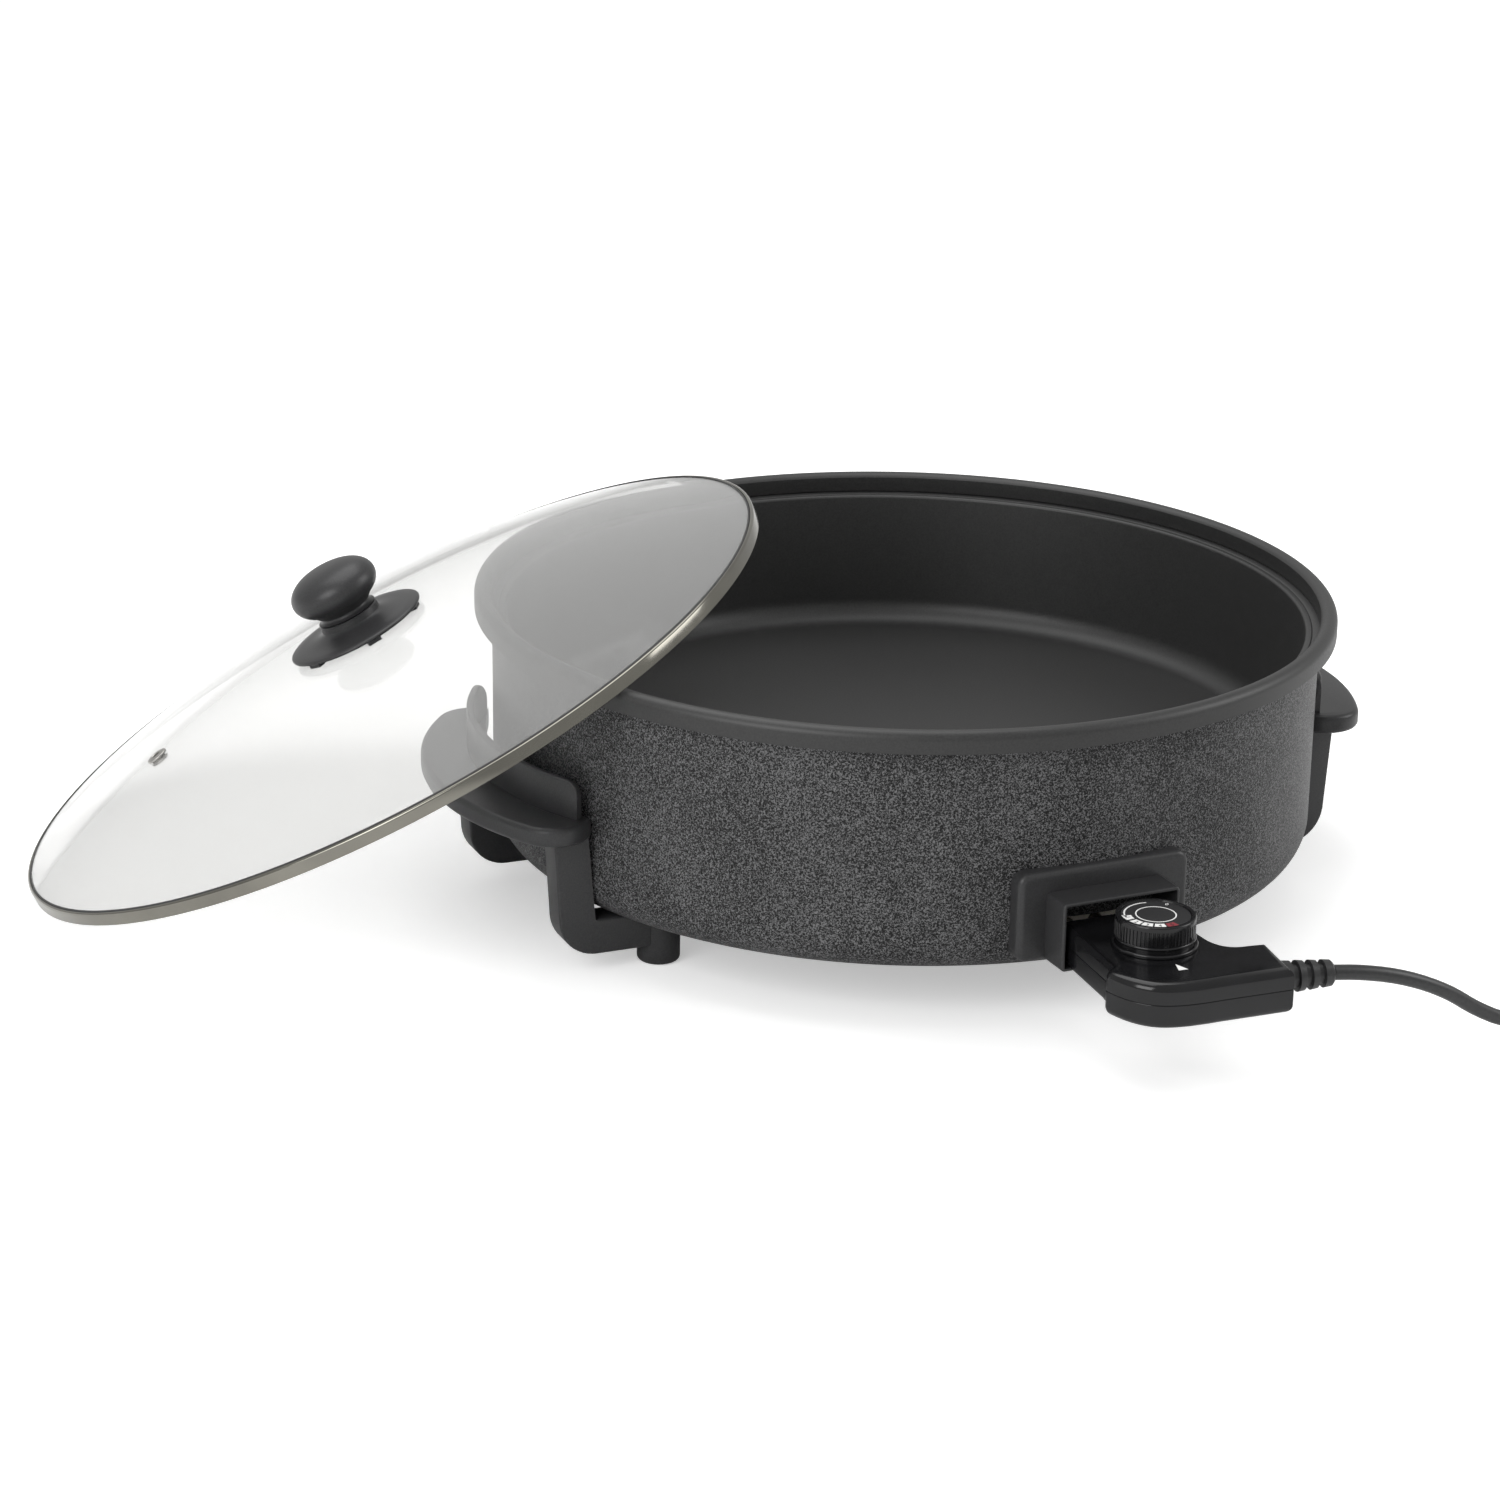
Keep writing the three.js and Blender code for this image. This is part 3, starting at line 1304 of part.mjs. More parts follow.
// The mushroom grip, on a short neck that stands on the collar.
function knobGrip() {
  const low = flangeHeight + knobBaseHeight + gap;
  const middle = low + knobNeckHeight + knobGripHeight / 2;
  const points = [[0, low], [knobCollarRadius - gap, low], [knobNeckRadius, low + knobNeckHeight]];
  const steps = 9;
  for (let i = 1; i <= steps; i += 1) {
    const angle = -quarter * 0.6 + (quarter * 1.6 * i) / steps;
    const width = i === steps ? 0 : knobGripRadius * Math.cos(angle) ** 0.8;
    points.push([width, middle + (knobGripHeight / 2) * Math.sin(angle)]);
  }
  const bore = rod(knobScrewRadius + gap, low - overrun, low + knobScrewGripDepth());
  return cut(turned(points, knobSides), bore);
}

// How far the knob's screw goes up into the grip.
function knobScrewGripDepth() {
  return knobScrewTop() + 2 * gap - (flangeHeight + knobBaseHeight + gap);
}

function knobScrewTop() {
  return knobWasherLow() - gap + knobScrewLength;
}

function knobWasherLow() {
  return glassTop - glassThickness - gap - knobWasherThickness;
}

function knobWasher() {
  const low = knobWasherLow();
  return tube(knobWasherRadius, knobScrewRadius + gap, low - gap / 3, low - gap / 3 + knobWasherThickness);
}

function knobScrew() {
  const top = knobScrewTop();
  return moved(screw(knobScrewLength, knobScrewHead, knobScrewRadius).rotateX(2 * quarter), 0, 0, top - knobScrewLength - gap);
}

// Where the lid leans: its low edge is on the table, and it is pushed towards the pan until its
// underside is one gap away from the pan's rim.

const lidAxis = new THREE.Vector3(
  Math.sin(THREE.MathUtils.degToRad(lidTilt)) * Math.cos(THREE.MathUtils.degToRad(lidLean)),
  Math.sin(THREE.MathUtils.degToRad(lidTilt)) * Math.sin(THREE.MathUtils.degToRad(lidLean)),
  Math.cos(THREE.MathUtils.degToRad(lidTilt)));

function lidTurn() {
  return new THREE.Quaternion().setFromUnitVectors(new THREE.Vector3(0, 0, 1), lidAxis);
}

function lidCentre(distance) {
  const lean = THREE.MathUtils.degToRad(lidLean);
  const height = tableLevel + gap + lidRadius * Math.sin(THREE.MathUtils.degToRad(lidTilt));
  return new THREE.Vector3(distance * Math.cos(lean), distance * Math.sin(lean), height);
}

// The least gap between the lid's underside and the rim's roll with the lid at a distance.
function rimGap(distance) {
  const place = new THREE.Matrix4().compose(lidCentre(distance), lidTurn(), new THREE.Vector3(1, 1, 1));
  const rings = [[lidRadius, 0], [lidRadius - lidBandSheet, 0], [domeStart, glassLow - gap - lidBandSheet]];
  for (let share = 0.05; share < 1; share += 0.05) {
    const radius = domeStart * share;
    rings.push([radius, domeHeight(radius) - glassThickness]);
  }
  let least = Infinity;
  const point = new THREE.Vector3();
  for (const [radius, height] of rings) {
    for (let degree = 0; degree < 360; degree += 0.5) {
      const angle = THREE.MathUtils.degToRad(degree);
      point.set(radius * Math.cos(angle), radius * Math.sin(angle), height).applyMatrix4(place);
      const across = Math.hypot(point.x, point.y) - rollRadiusCentre;
      least = Math.min(least, Math.hypot(across, point.z - rollHeightCentre) - rimRollRadius);
    }
  }
  return least;
}

function lidDistance() {
  let far = rimRadius + lidRadius;
  const step = rimRollRadius / 8;
  while (rimGap(far) > gap && far > 0) far -= step;
  let near = far;
  far += step;
  for (let i = 0; i < 20; i += 1) {
    const middle = (near + far) / 2;
    if (rimGap(middle) > gap) far = middle;
    else near = middle;
  }
  return far;
}

// Assembly

function panGroup() {
  const group = new THREE.Group();
  group.add(piece("inner_pan", innerPan(), finish.nonStick));
  group.add(piece("outer_jacket", outerJacket(), finish.hammered));
  group.add(piece("inlet_shroud", inletShroud(), finish.handlePlastic));
  group.add(piece("inlet_block", inletBlock(), finish.ceramic));
  group.add(piece("terminal_pin_left", terminalPin(-1), finish.steel));
  group.add(piece("terminal_pin_right", terminalPin(1), finish.steel));
  group.add(piece("probe_pocket", probePocket(), finish.heater));
  group.add(piece("heating_element", heatingElement(), finish.heater));
  for (let i = 0; i < clipCount; i += 1) {
    const clip = piece("element_clip_" + (i + 1), elementClip(), finish.heater);
    clip.rotation.z = ((i + 0.25) * 4 * quarter) / clipCount;
    group.add(clip);
  }
  shroudScrewPlaces().forEach((place, i) => {
    const geometry = alongScrew(place, screw(shroudScrewDepth + overrun / 2));
    group.add(piece("shroud_screw_" + (i + 1), geometry, finish.steel));
  });
  return group;
}

function handleGroup() {
  const group = new THREE.Group();
  const right = rightHandle();
  group.add(piece("handle_left", mirrored(right), finish.handlePlastic));
  group.add(piece("handle_right", right, finish.handlePlastic));
  handleScrewPlaces().forEach((place, i) => {
    const geometry = alongScrew(place, screw(handleScrewDepth));
    group.add(piece("handle_screw_" + (i + 1), geometry, finish.steel));
  });
  const names = ["left_front", "left_rear", "right_front", "right_rear"];
  footPlaces().forEach(([x, y], i) => {
    const standing = piece("foot_" + names[i], foot(), finish.handlePlastic);
    const fixing = piece("foot_screw_" + names[i], footScrew(), finish.steel);
    const nut = piece("foot_nut_" + names[i], footNut(), finish.steel);
    for (const mesh of [standing, fixing, nut]) {
      mesh.position.set(x, y, 0);
      group.add(mesh);
    }
  });
  return group;
}

function footNut() {
  const low = jacketSheet + gap;
  const bore = rod(screwRadius + gap, low - overrun, low + footNutHeight + overrun, smallSides / 2);
  return cut(rod(footNutRadius, low, low + footNutHeight, nutSides), bore);
}

function lidGroup() {
  const group = new THREE.Group();
  group.position.copy(lidCentre(lidDistance()));
  group.quaternion.copy(lidTurn());
  group.add(piece("glass_lid", glassLid(), finish.glass));
  group.add(piece("lid_rim", lidRim(), finish.steel));
  group.add(piece("knob_grip", knobGrip(), finish.handlePlastic));
  group.add(piece("knob_base", knobBase(), finish.handlePlastic));
  group.add(piece("knob_screw", knobScrew(), finish.steel));
  group.add(piece("knob_washer", knobWasher(), finish.rubber));
  group.add(piece("vent_grommet", ventGrommet(), finish.steel));
  return group;
}

function controllerGroup() {
  const group = new THREE.Group();
  group.add(piece("controller_top", controllerTop(), finish.shellPlastic));
  group.add(piece("controller_bottom", controllerBottom(), finish.shellPlastic));
  group.add(piece("thermostat_frame", thermostatFrame(), finish.steel));
  group.add(piece("bimetal_blade", bimetalBlade(), finish.brass));
  group.add(piece("probe_rod", probeRod(), finish.steel));
  group.add(piece("contact_socket_left", contactSocket(-1), finish.brass));
  group.add(piece("contact_socket_right", contactSocket(1), finish.brass));
  group.add(piece("cord_clamp", cordClamp(), finish.shellPlastic));
  shellScrewPlaces().forEach(([x, y], i) => {
    const mesh = piece("shell_screw_" + (i + 1), shellScrew(), finish.steel);
    mesh.position.set(x, y, 0);
    group.add(mesh);
  });
  const dial = new THREE.Group();
  dial.position.set(0, -dialY, 0);
  dial.add(piece("control_dial", controlDial(), finish.shellPlastic));
  dial.add(piece("dial_face", dialFace(), finish.print));
  dial.add(piece("dial_shaft", dialShaft(), finish.steel));
  group.add(dial);
  return group;
}

function cordGroup() {
  const group = new THREE.Group();
  group.add(piece("strain_relief", strainRelief(), finish.rubber));
  group.add(piece("power_cord", powerCord(), finish.rubber));
  group.add(piece("cord_coil", cordCoil(), finish.rubber));
  group.add(piece("cord_tie", cordTie(), finish.rubber));
  group.add(piece("cord_tail", cordTail(), finish.rubber));
  group.add(piece("plug_body", plugBody(), finish.rubber));
  group.add(piece("plug_pin_left", plugPin(1), finish.steel));
  group.add(piece("plug_pin_right", plugPin(-1), finish.steel));
  return group;
}

console.log("least gap of the coil to itself, mm:", coilLeastGap().toFixed(2));

const skillet = new THREE.Group();
skillet.position.z = -floorHeight;
skillet.add(panGroup(), handleGroup(), lidGroup(), controllerGroup(), cordGroup());

export default skillet;
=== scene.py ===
"""Looks of a round electric skillet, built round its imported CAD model.

Sizes are in millimetres, with heights counted from the underside of the pan's jacket, and turn to the
frame's metres, counted from the cooking floor, when a mesh is made.
"""

import logging
import math
from collections.abc import Iterable, Sequence
from dataclasses import dataclass, field
from enum import Enum

import bmesh
import bpy
from mathutils import Euler, Matrix, Vector


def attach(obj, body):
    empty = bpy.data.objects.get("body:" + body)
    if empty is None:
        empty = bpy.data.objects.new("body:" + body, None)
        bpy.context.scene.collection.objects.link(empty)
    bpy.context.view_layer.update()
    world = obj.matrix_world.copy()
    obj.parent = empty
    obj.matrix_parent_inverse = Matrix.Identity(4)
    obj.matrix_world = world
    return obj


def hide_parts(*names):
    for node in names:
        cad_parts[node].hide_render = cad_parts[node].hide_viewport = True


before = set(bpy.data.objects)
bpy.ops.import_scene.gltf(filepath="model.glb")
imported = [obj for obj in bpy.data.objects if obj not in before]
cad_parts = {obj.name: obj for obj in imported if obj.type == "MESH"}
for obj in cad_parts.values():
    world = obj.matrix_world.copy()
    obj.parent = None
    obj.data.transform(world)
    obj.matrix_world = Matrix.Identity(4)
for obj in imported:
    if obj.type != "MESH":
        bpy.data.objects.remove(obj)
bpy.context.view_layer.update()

LOG = logging.getLogger("skillet")
METRE = 1000.0
FLOOR_HEIGHT = 42.7  # of the cooking floor, above the jacket's underside
TABLE = -27.5  # the table top, above the jacket's underside
GAP = 0.3
OVERRUN = 5  # how far a cut reaches past the piece it cuts
PRINT_LOW, PRINT_HIGH = 0.02, 0.1  # the two faces of a printed mark, above the case
FULL_TURN = 2 * math.pi
Pair = tuple[float, float]


class Side(Enum):
    """The two handles' sides of the pan."""

    LEFT = -1
    RIGHT = 1


class Cut(Enum):
    """What a boolean does with its second solid."""

    JOIN = "UNION"
    REMOVE = "DIFFERENCE"


# Plain forms


@dataclass
class Form:
    """Points in millimetres and the faces between them."""

    points: list[Vector] = field(default_factory=list)
    faces: list[tuple[int, ...]] = field(default_factory=list)

    def moved(self, matrix: Matrix) -> "Form":
        """Gives the same form moved by a matrix."""
        return Form([matrix @ p for p in self.points], list(self.faces))

    def shifted(self, x: float, y: float, z: float) -> "Form":
        """Gives the same form moved along the axes."""
        return self.moved(Matrix.Translation((x, y, z)))

    def with_form(self, other: "Form") -> "Form":
        """Gives both forms as one, without joining their surfaces.

        Args:
            other: the form to add.

        Returns:
            A new form that holds both.
        """
        start = len(self.points)
        extra = [tuple(i + start for i in face) for face in other.faces]
        return Form(self.points + other.points, self.faces + extra)


def arc(centre: Pair, radius: float, start: float, end: float, steps: int) -> list[Pair]:
    """Points of an arc in a plane.

    Args:
        centre: the arc's centre.
        radius: its radius.
        start: the first point's angle in degrees.
        end: the last point's angle in degrees.
        steps: how many steps the arc has.

    Returns:
        The points, both ends included.
    """
    angles = [math.radians(start + (end - start) * i / steps) for i in range(steps + 1)]
    return [(centre[0] + radius * math.cos(a), centre[1] + radius * math.sin(a)) for a in angles]


def bend(start: Pair, pull: Pair, end: Pair, steps: int = 12) -> list[Pair]:
    """Points of a curve from start to end that leans towards one pull point, start left out.

    Args:
        start: the curve's first point.
        pull: the point that it leans towards.
        end: its last point.
        steps: how many steps it has.

    Returns:
        The points after the start.
    """
    points = []
    for i in range(1, steps + 1):
        t = i / steps
        weights = ((1 - t) ** 2, 2 * t * (1 - t), t * t)
        points.append(tuple(sum(w * p[k] for w, p in zip(weights, (start, pull, end))) for k in (0, 1)))
    return points


def turned(profile: Sequence[Pair], sides: int = 48, closed: bool = False) -> Form:
    """Turns a profile of (radius, height) about the Z axis.

    Args:
        profile: the points, up the outside; the ends lie on the axis, or the profile closes.
        sides: how many sides the turned form has.
        closed: whether the last point joins the first.

    Returns:
        The closed form.
    """
    form = Form()
    rings: list[list[int]] = []
    for radius, height in profile:
        count = 1 if radius < 1e-6 else sides
        first = len(form.points)
        for i in range(count):
            a = FULL_TURN * i / sides
            form.points.append(Vector((radius * math.cos(a), radius * math.sin(a), height)))
        rings.append([first + i % count for i in range(sides)])
    pairs = list(zip(rings, rings[1:]))
    if closed:
        pairs.append((rings[-1], rings[0]))
    for low, high in pairs:
        for i in range(sides):
            j = (i + 1) % sides
            corners = (low[i], low[j], high[j], high[i])
            face = tuple(dict.fromkeys(corners))
            if len(face) > 2:
                form.faces.append(face)
    return form


def inset(outline: Sequence[Pair], distance: float) -> list[Pair]:
    """Moves each point of a counter-clockwise outline inwards by a distance.

    Args:
        outline: the outline to move.
        distance: how far its sides move inwards.

    Returns:
        The moved points.
    """
    moved = []
    count = len(outline)
    for i, (x, y) in enumerate(outline):
        before, after = outline[i - 1], outline[(i + 1) % count]
        ins = Vector((x - before[0], y - before[1])).normalized()
        out = Vector((after[0] - x, after[1] - y)).normalized()
        normal = Vector((-ins.y - out.y, ins.x + out.x))
        reach = distance / max(normal.length_squared / 2, 0.35)
        moved.append((x + normal.x * reach, y + normal.y * reach))
    return moved


def plate(
    outline: Sequence[Pair],
    low: float,
    high: float,
    low_edge: float = 0,
    high_edge: float = 0,
    steps: int = 5,
) -> Form:
    """Raises a counter-clockwise outline into a plate with rounded edges.

    Args:
        outline: the plate seen from above.
        low: height of its underside.
        high: height of its top.
        low_edge: radius of the lower edge.
        high_edge: radius of the upper edge.
        steps: how many steps each rounded edge has.

    Returns:
        The closed form.
    """
    levels: list[Pair] = []
    for edge, base, way in ((low_edge, low, 1), (high_edge, high, -1)):
        count = steps if edge else 0
        ring = []
        for i in range(count + 1):
            a = math.pi / 2 * (i / count if count else 1)
            ring.append((edge * (1 - math.sin(a)), base + way * edge * (1 - math.cos(a))))
        levels += ring if way > 0 else ring[::-1]
    form = Form()
    count = len(outline)
    for distance, height in levels:
        ring = inset(outline, distance) if distance > 1e-6 else outline
        form.points += [Vector((x, y, height)) for x, y in ring]
    for level in range(len(levels) - 1):
        for i in range(count):
            j = (i + 1) % count
            a, b = level * count, (level + 1) * count
            form.faces.append((a + i, a + j, b + j, b + i))
    form.faces.append(tuple(reversed(range(count))))
    form.faces.append(tuple(range((len(levels) - 1) * count, len(levels) * count)))
    return form


def rounded_box_outline(half_x: float, half_y: float, radius: float, steps: int = 8) -> list[Pair]:
    """Gives a rectangle with round corners, counter-clockwise.

    Args:
        half_x: half its size along X.
        half_y: half its size along Y.
        radius: radius of its corners.
        steps: how many steps each corner has.

    Returns:
        The outline's points, counter-clockwise.
    """
    points: list[Pair] = []
    for i, (sx, sy) in enumerate(((1, 1), (-1, 1), (-1, -1), (1, -1))):
        centre = (sx * (half_x - radius), sy * (half_y - radius))
        points += arc(centre, radius, 90 * i, 90 * i + 90, steps)
    return points


def box(low: Sequence[float], high: Sequence[float]) -> Form:
    """Gives a box between two corners."""
    outline = [(low[0], low[1]), (high[0], low[1]), (high[0], high[1]), (low[0], high[1])]
    return plate(outline, low[2], high[2])


FACING_FRONT = Matrix.Rotation(math.pi / 2, 4, "X")  # turns +Z to -Y


# Meshes and pieces


def mesh_of(form: Form, name: str) -> bpy.types.Mesh:
    """Makes a mesh of a form, still in millimetres, with its faces turned outwards.

    Args:
        form: the form to turn into a mesh.
        name: the mesh's name.

    Returns:
        The new mesh.
    """
    mesh = bpy.data.meshes.new(name)
    mesh.from_pydata([tuple(p) for p in form.points], [], form.faces)
    work = bmesh.new()
    work.from_mesh(mesh)
    bmesh.ops.remove_doubles(work, verts=work.verts, dist=1e-4)
    bmesh.ops.recalc_face_normals(work, faces=work.faces)
    work.to_mesh(mesh)
    work.free()
    return mesh


def carved(form: Form, steps: Iterable[tuple[Cut, Form]]) -> Form:
    """Joins forms to a form, or cuts them from it, one after another.

    Args:
        form: the closed form to start from.
        steps: what to do with each further closed form.

    Returns:
        The closed form that is left.
    """
    work = bpy.data.objects.new("work", mesh_of(form, "work"))
    bpy.context.scene.collection.objects.link(work)
    for how, other in steps:
        tool = bpy.data.objects.new("tool", mesh_of(other, "tool"))
        bpy.context.scene.collection.objects.link(tool)
        modifier = work.modifiers.new("cut", "BOOLEAN")
        modifier.operation = how.value
        modifier.solver = "EXACT"
        modifier.object = tool
        bpy.context.view_layer.update()
        graph = bpy.context.evaluated_depsgraph_get()
        result = bpy.data.meshes.new_from_object(work.evaluated_get(graph))
        work.modifiers.clear()
        work.data = result
        bpy.data.objects.remove(tool)
    made = Form(
        [v.co.copy() for v in work.data.vertices],
        [tuple(p.vertices) for p in work.data.polygons],
    )
    bpy.data.objects.remove(work)
    return made


@dataclass
class Piece:
    """One visible piece and where it belongs."""

    name: str
    form: Form
    finish: "Finish"
    body: str
    slot: str
    stands_for: tuple[str, ...] = ()
    smooth_degrees: float = 32

    def make(self) -> bpy.types.Object:
        """Makes the object in the frame, lets it ride on its body and hides what it stands for.

        Returns:
            The new object.
        """
        mesh = mesh_of(self.form, self.name)
        mesh.transform(Matrix.Scale(1 / METRE, 4) @ Matrix.Translation((0, 0, -FLOOR_HEIGHT)))
        mesh.shade_smooth()
        mesh.set_sharp_from_angle(angle=math.radians(self.smooth_degrees))
        mesh.materials.append(self.finish.material())
        made = bpy.data.objects.new(self.name, mesh)
        bpy.context.scene.collection.objects.link(made)
        settle(made, self.body, self.stands_for)
        return made


def settle(made: bpy.types.Object, body: str, stands_for: Sequence[str]) -> None:
    """Lets an object ride on a body and hides the CAD nodes that it stands for.

    Args:
        made: the object.
        body: the body that it rides on.
        stands_for: the CAD nodes that it replaces.
    """
    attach(made, body)
    if stands_for:
        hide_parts(*stands_for)
    LOG.info("%s rides on %s", made.name, body)


# Finishes


def linear(colour: str) -> tuple[float, float, float, float]:
    """Turns a colour written as sRGB hex, such as 1a2b3c, to linear red, green, blue and alpha."""
    values = [int(colour[i : i + 2], 16) / 255 for i in (0, 2, 4)]
    return (*[v / 12.92 if v <= 0.04045 else ((v + 0.055) / 1.055) ** 2.4 for v in values], 1.0)


def per_metre(size_mm: float) -> float:
    """Gives the texture scale at which one cell of a pattern has a size in millimetres."""
    return METRE / size_mm


def add_node(tree: bpy.types.NodeTree, kind: str, settings: dict | None = None, links: dict | None = None):
    """Adds a node with its settings and links.

    Args:
        tree: the material's or world's node tree.
        kind: the node's type name.
        settings: values by attribute name, or by input name or number.
        links: the output that each input takes, by input name or number.

    Returns:
        The new node.
    """
    made = tree.nodes.new(kind)
    for name, value in (settings or {}).items():
        if isinstance(name, str) and hasattr(made, name):
            setattr(made, name, value)
        else:
            made.inputs[name].default_value = value
    for name, source in (links or {}).items():
        tree.links.new(source, made.inputs[name])
    return made


def noise(tree: bpy.types.NodeTree, size_mm: float, **settings: float) -> bpy.types.NodeSocket:
    """Adds a noise with cells of a size in millimetres, fixed to the object, and gives its value.

    Args:
        tree: the node tree to add to.
        size_mm: size of the cells.

    Returns:
        The noise's value.
    """
    place = add_node(tree, "ShaderNodeTexCoord").outputs["Object"]
    made = add_node(tree, "ShaderNodeTexNoise", {"Scale": per_metre(size_mm), **settings}, {"Vector": place})
    return made.outputs[0]


def coloured(
    tree: bpy.types.NodeTree, value: bpy.types.NodeSocket, *stops: tuple[float, str]
) -> bpy.types.NodeSocket:
    """Turns a value to a colour by a ramp's stops, each a place and a hex colour.

    Args:
        tree: the node tree to add to.
        value: the value to turn.

    Returns:
        The ramp's colour.
    """
    ramp = add_node(tree, "ShaderNodeValToRGB", links={"Fac": value})
    elements = ramp.color_ramp.elements
    while len(elements) < len(stops):
        elements.new(0.5)
    for element, (place, colour) in zip(elements, stops):
        element.position = place
        element.color = linear(colour)
    return ramp.outputs[0]


def spread(
    tree: bpy.types.NodeTree, value: bpy.types.NodeSocket, low: float, high: float
) -> bpy.types.NodeSocket:
    """Spreads the middle of a noise's values over a range."""
    ends = {"From Min": 0.3, "From Max": 0.7, "To Min": low, "To Max": high}
    return add_node(tree, "ShaderNodeMapRange", ends, {"Value": value}).outputs[0]


def relief(
    tree: bpy.types.NodeTree, value: bpy.types.NodeSocket, strength: float, height_mm: float
) -> bpy.types.NodeSocket:
    """Turns a value to a fine relief of a height in millimetres."""
    settings = {"Strength": strength, "Distance": height_mm / METRE}
    return add_node(tree, "ShaderNodeBump", settings, {"Height": value}).outputs[0]


class Finish:
    """A surface finish, made once and shared by its pieces."""

    _made: dict[str, bpy.types.Material] = {}

    def material(self) -> bpy.types.Material:
        """Gives this finish's material, made the first time it is asked for.

        Returns:
            The material.
        """
        name = type(self).__name__ + getattr(self, "variant", "")
        if name not in Finish._made:
            made = bpy.data.materials.new(name)
            made.use_nodes = True
            made.node_tree.nodes.clear()
            self.dress(made.node_tree)
            Finish._made[name] = made
        return Finish._made[name]

    def dress(self, tree: bpy.types.NodeTree) -> None:
        """Adds this finish's nodes to an empty tree."""
        raise NotImplementedError


def surface(tree: bpy.types.NodeTree, settings: dict, links: dict) -> bpy.types.Node:
    """Adds the shader and the output that every finish ends in.

    Args:
        tree: the node tree to add to.
        settings: values for the shader's inputs.
        links: the output that each input takes.

    Returns:
        The shader.
    """
    shader = add_node(tree, "ShaderNodeBsdfPrincipled", settings, links)
    add_node(tree, "ShaderNodeOutputMaterial", links={"Surface": shader.outputs[0]})
    return shader


@dataclass(frozen=True)
class HammeredPaint(Finish):
    """Hammer-effect enamel sprayed on steel: light worm-like flecks over near-black gaps, half gloss."""

    fleck_mm: float = 0.75
    drift_mm: float = 45
    fleck_height_mm: float = 0.12
    dark: str = "060606"
    middle: str = "242425"
    light: str = "69696a"

    def dress(self, tree: bpy.types.NodeTree) -> None:
        """Adds flecks by a stretched noise, and lets them stand proud of the gaps.

        Args:
            tree: the material's node tree.
        """
        flecks = noise(tree, self.fleck_mm, Detail=2.0, Roughness=0.55, Distortion=0.9)
        drift = noise(tree, self.drift_mm, Detail=1.0)
        settings = {"operation": "MULTIPLY_ADD", 1: 0.08}
        mixed = add_node(tree, "ShaderNodeMath", settings, {0: drift, 2: flecks})
        colour = coloured(tree, mixed.outputs[0], (0.46, self.dark), (0.53, self.middle), (0.64, self.light))
        surface(
            tree,
            {"Roughness": 0.46, "Specular IOR Level": 0.22},
            {"Base Color": colour, "Normal": relief(tree, flecks, 0.35, self.fleck_height_mm)},
        )


@dataclass(frozen=True)
class NonStickCoating(Finish):
    """Sprayed fluoropolymer over aluminium: satin charcoal with a fine speckle that breaks highlights."""

    speckle_mm: float = 0.9
    speckle_height_mm: float = 0.04
    dark: str = "1f1f1f"
    light: str = "2b2b2b"

    def dress(self, tree: bpy.types.NodeTree) -> None:
        """Adds a fine speckle to colour, roughness and relief.

        Args:
            tree: the material's node tree.
        """
        speckle = noise(tree, self.speckle_mm, Detail=3.0, Roughness=0.6)
        links = {
            "Base Color": coloured(tree, speckle, (0.35, self.dark), (0.65, self.light)),
            "Roughness": spread(tree, speckle, 0.4, 0.52),
            "Normal": relief(tree, speckle, 0.12, self.speckle_height_mm),
        }
        surface(tree, {"Specular IOR Level": 0.5}, links)


@dataclass(frozen=True)
class MouldedPhenolic(Finish):
    """Moulded phenolic resin: dark grey, evenly matte with a soft sheen and a faint moulded grain."""

    grain_mm: float = 0.7
    grain_height_mm: float = 0.03
    dark: str = "2a2a2b"
    light: str = "343435"

    def dress(self, tree: bpy.types.NodeTree) -> None:
        """Adds the moulded grain to colour and relief.

        Args:
            tree: the material's node tree.
        """
        grain = noise(tree, self.grain_mm, Detail=2.0)
        links = {
            "Base Color": coloured(tree, grain, (0.3, self.dark), (0.7, self.light)),
            "Normal": relief(tree, grain, 0.1, self.grain_height_mm),
        }
        surface(tree, {"Roughness": 0.36, "Specular IOR Level": 0.34}, links)


@dataclass(frozen=True)
class GlossAbs(Finish):
    """Polished-mould ABS: near-black with sharp highlights and the faintest ripple."""

    ripple_mm: float = 14.0
    ripple_height_mm: float = 0.2
    colour: str = "101011"
    tint: str = "141416"

    def dress(self, tree: bpy.types.NodeTree) -> None:
        """Adds a slow ripple to colour, roughness and relief.

        Args:
            tree: the material's node tree.
        """
        ripple = noise(tree, self.ripple_mm, Detail=3.0)
        links = {
            "Base Color": coloured(tree, ripple, (0.35, self.colour), (0.65, self.tint)),
            "Roughness": spread(tree, ripple, 0.12, 0.2),
            "Normal": relief(tree, ripple, 0.04, self.ripple_height_mm),
        }
        surface(tree, {"IOR": 1.42}, links)


@dataclass(frozen=True)
class Metal(Finish):
    """Bare or plated metal: its own colour in the highlights, with fine scratches from how it was worked."""

    variant: str
    colour: str
    worn: str
    roughness: float
    scratch_mm: float = 0.5

    def dress(self, tree: bpy.types.NodeTree) -> None:
        """Adds fine scratches to colour and roughness.

        Args:
            tree: the material's node tree.
        """
        scratch = noise(tree, self.scratch_mm, Detail=4.0)
        links = {
            "Base Color": coloured(tree, scratch, (0.3, self.worn), (0.7, self.colour)),
            "Roughness": spread(tree, scratch, self.roughness, self.roughness + 0.08),
        }
        surface(tree, {"Metallic": 1.0}, links)


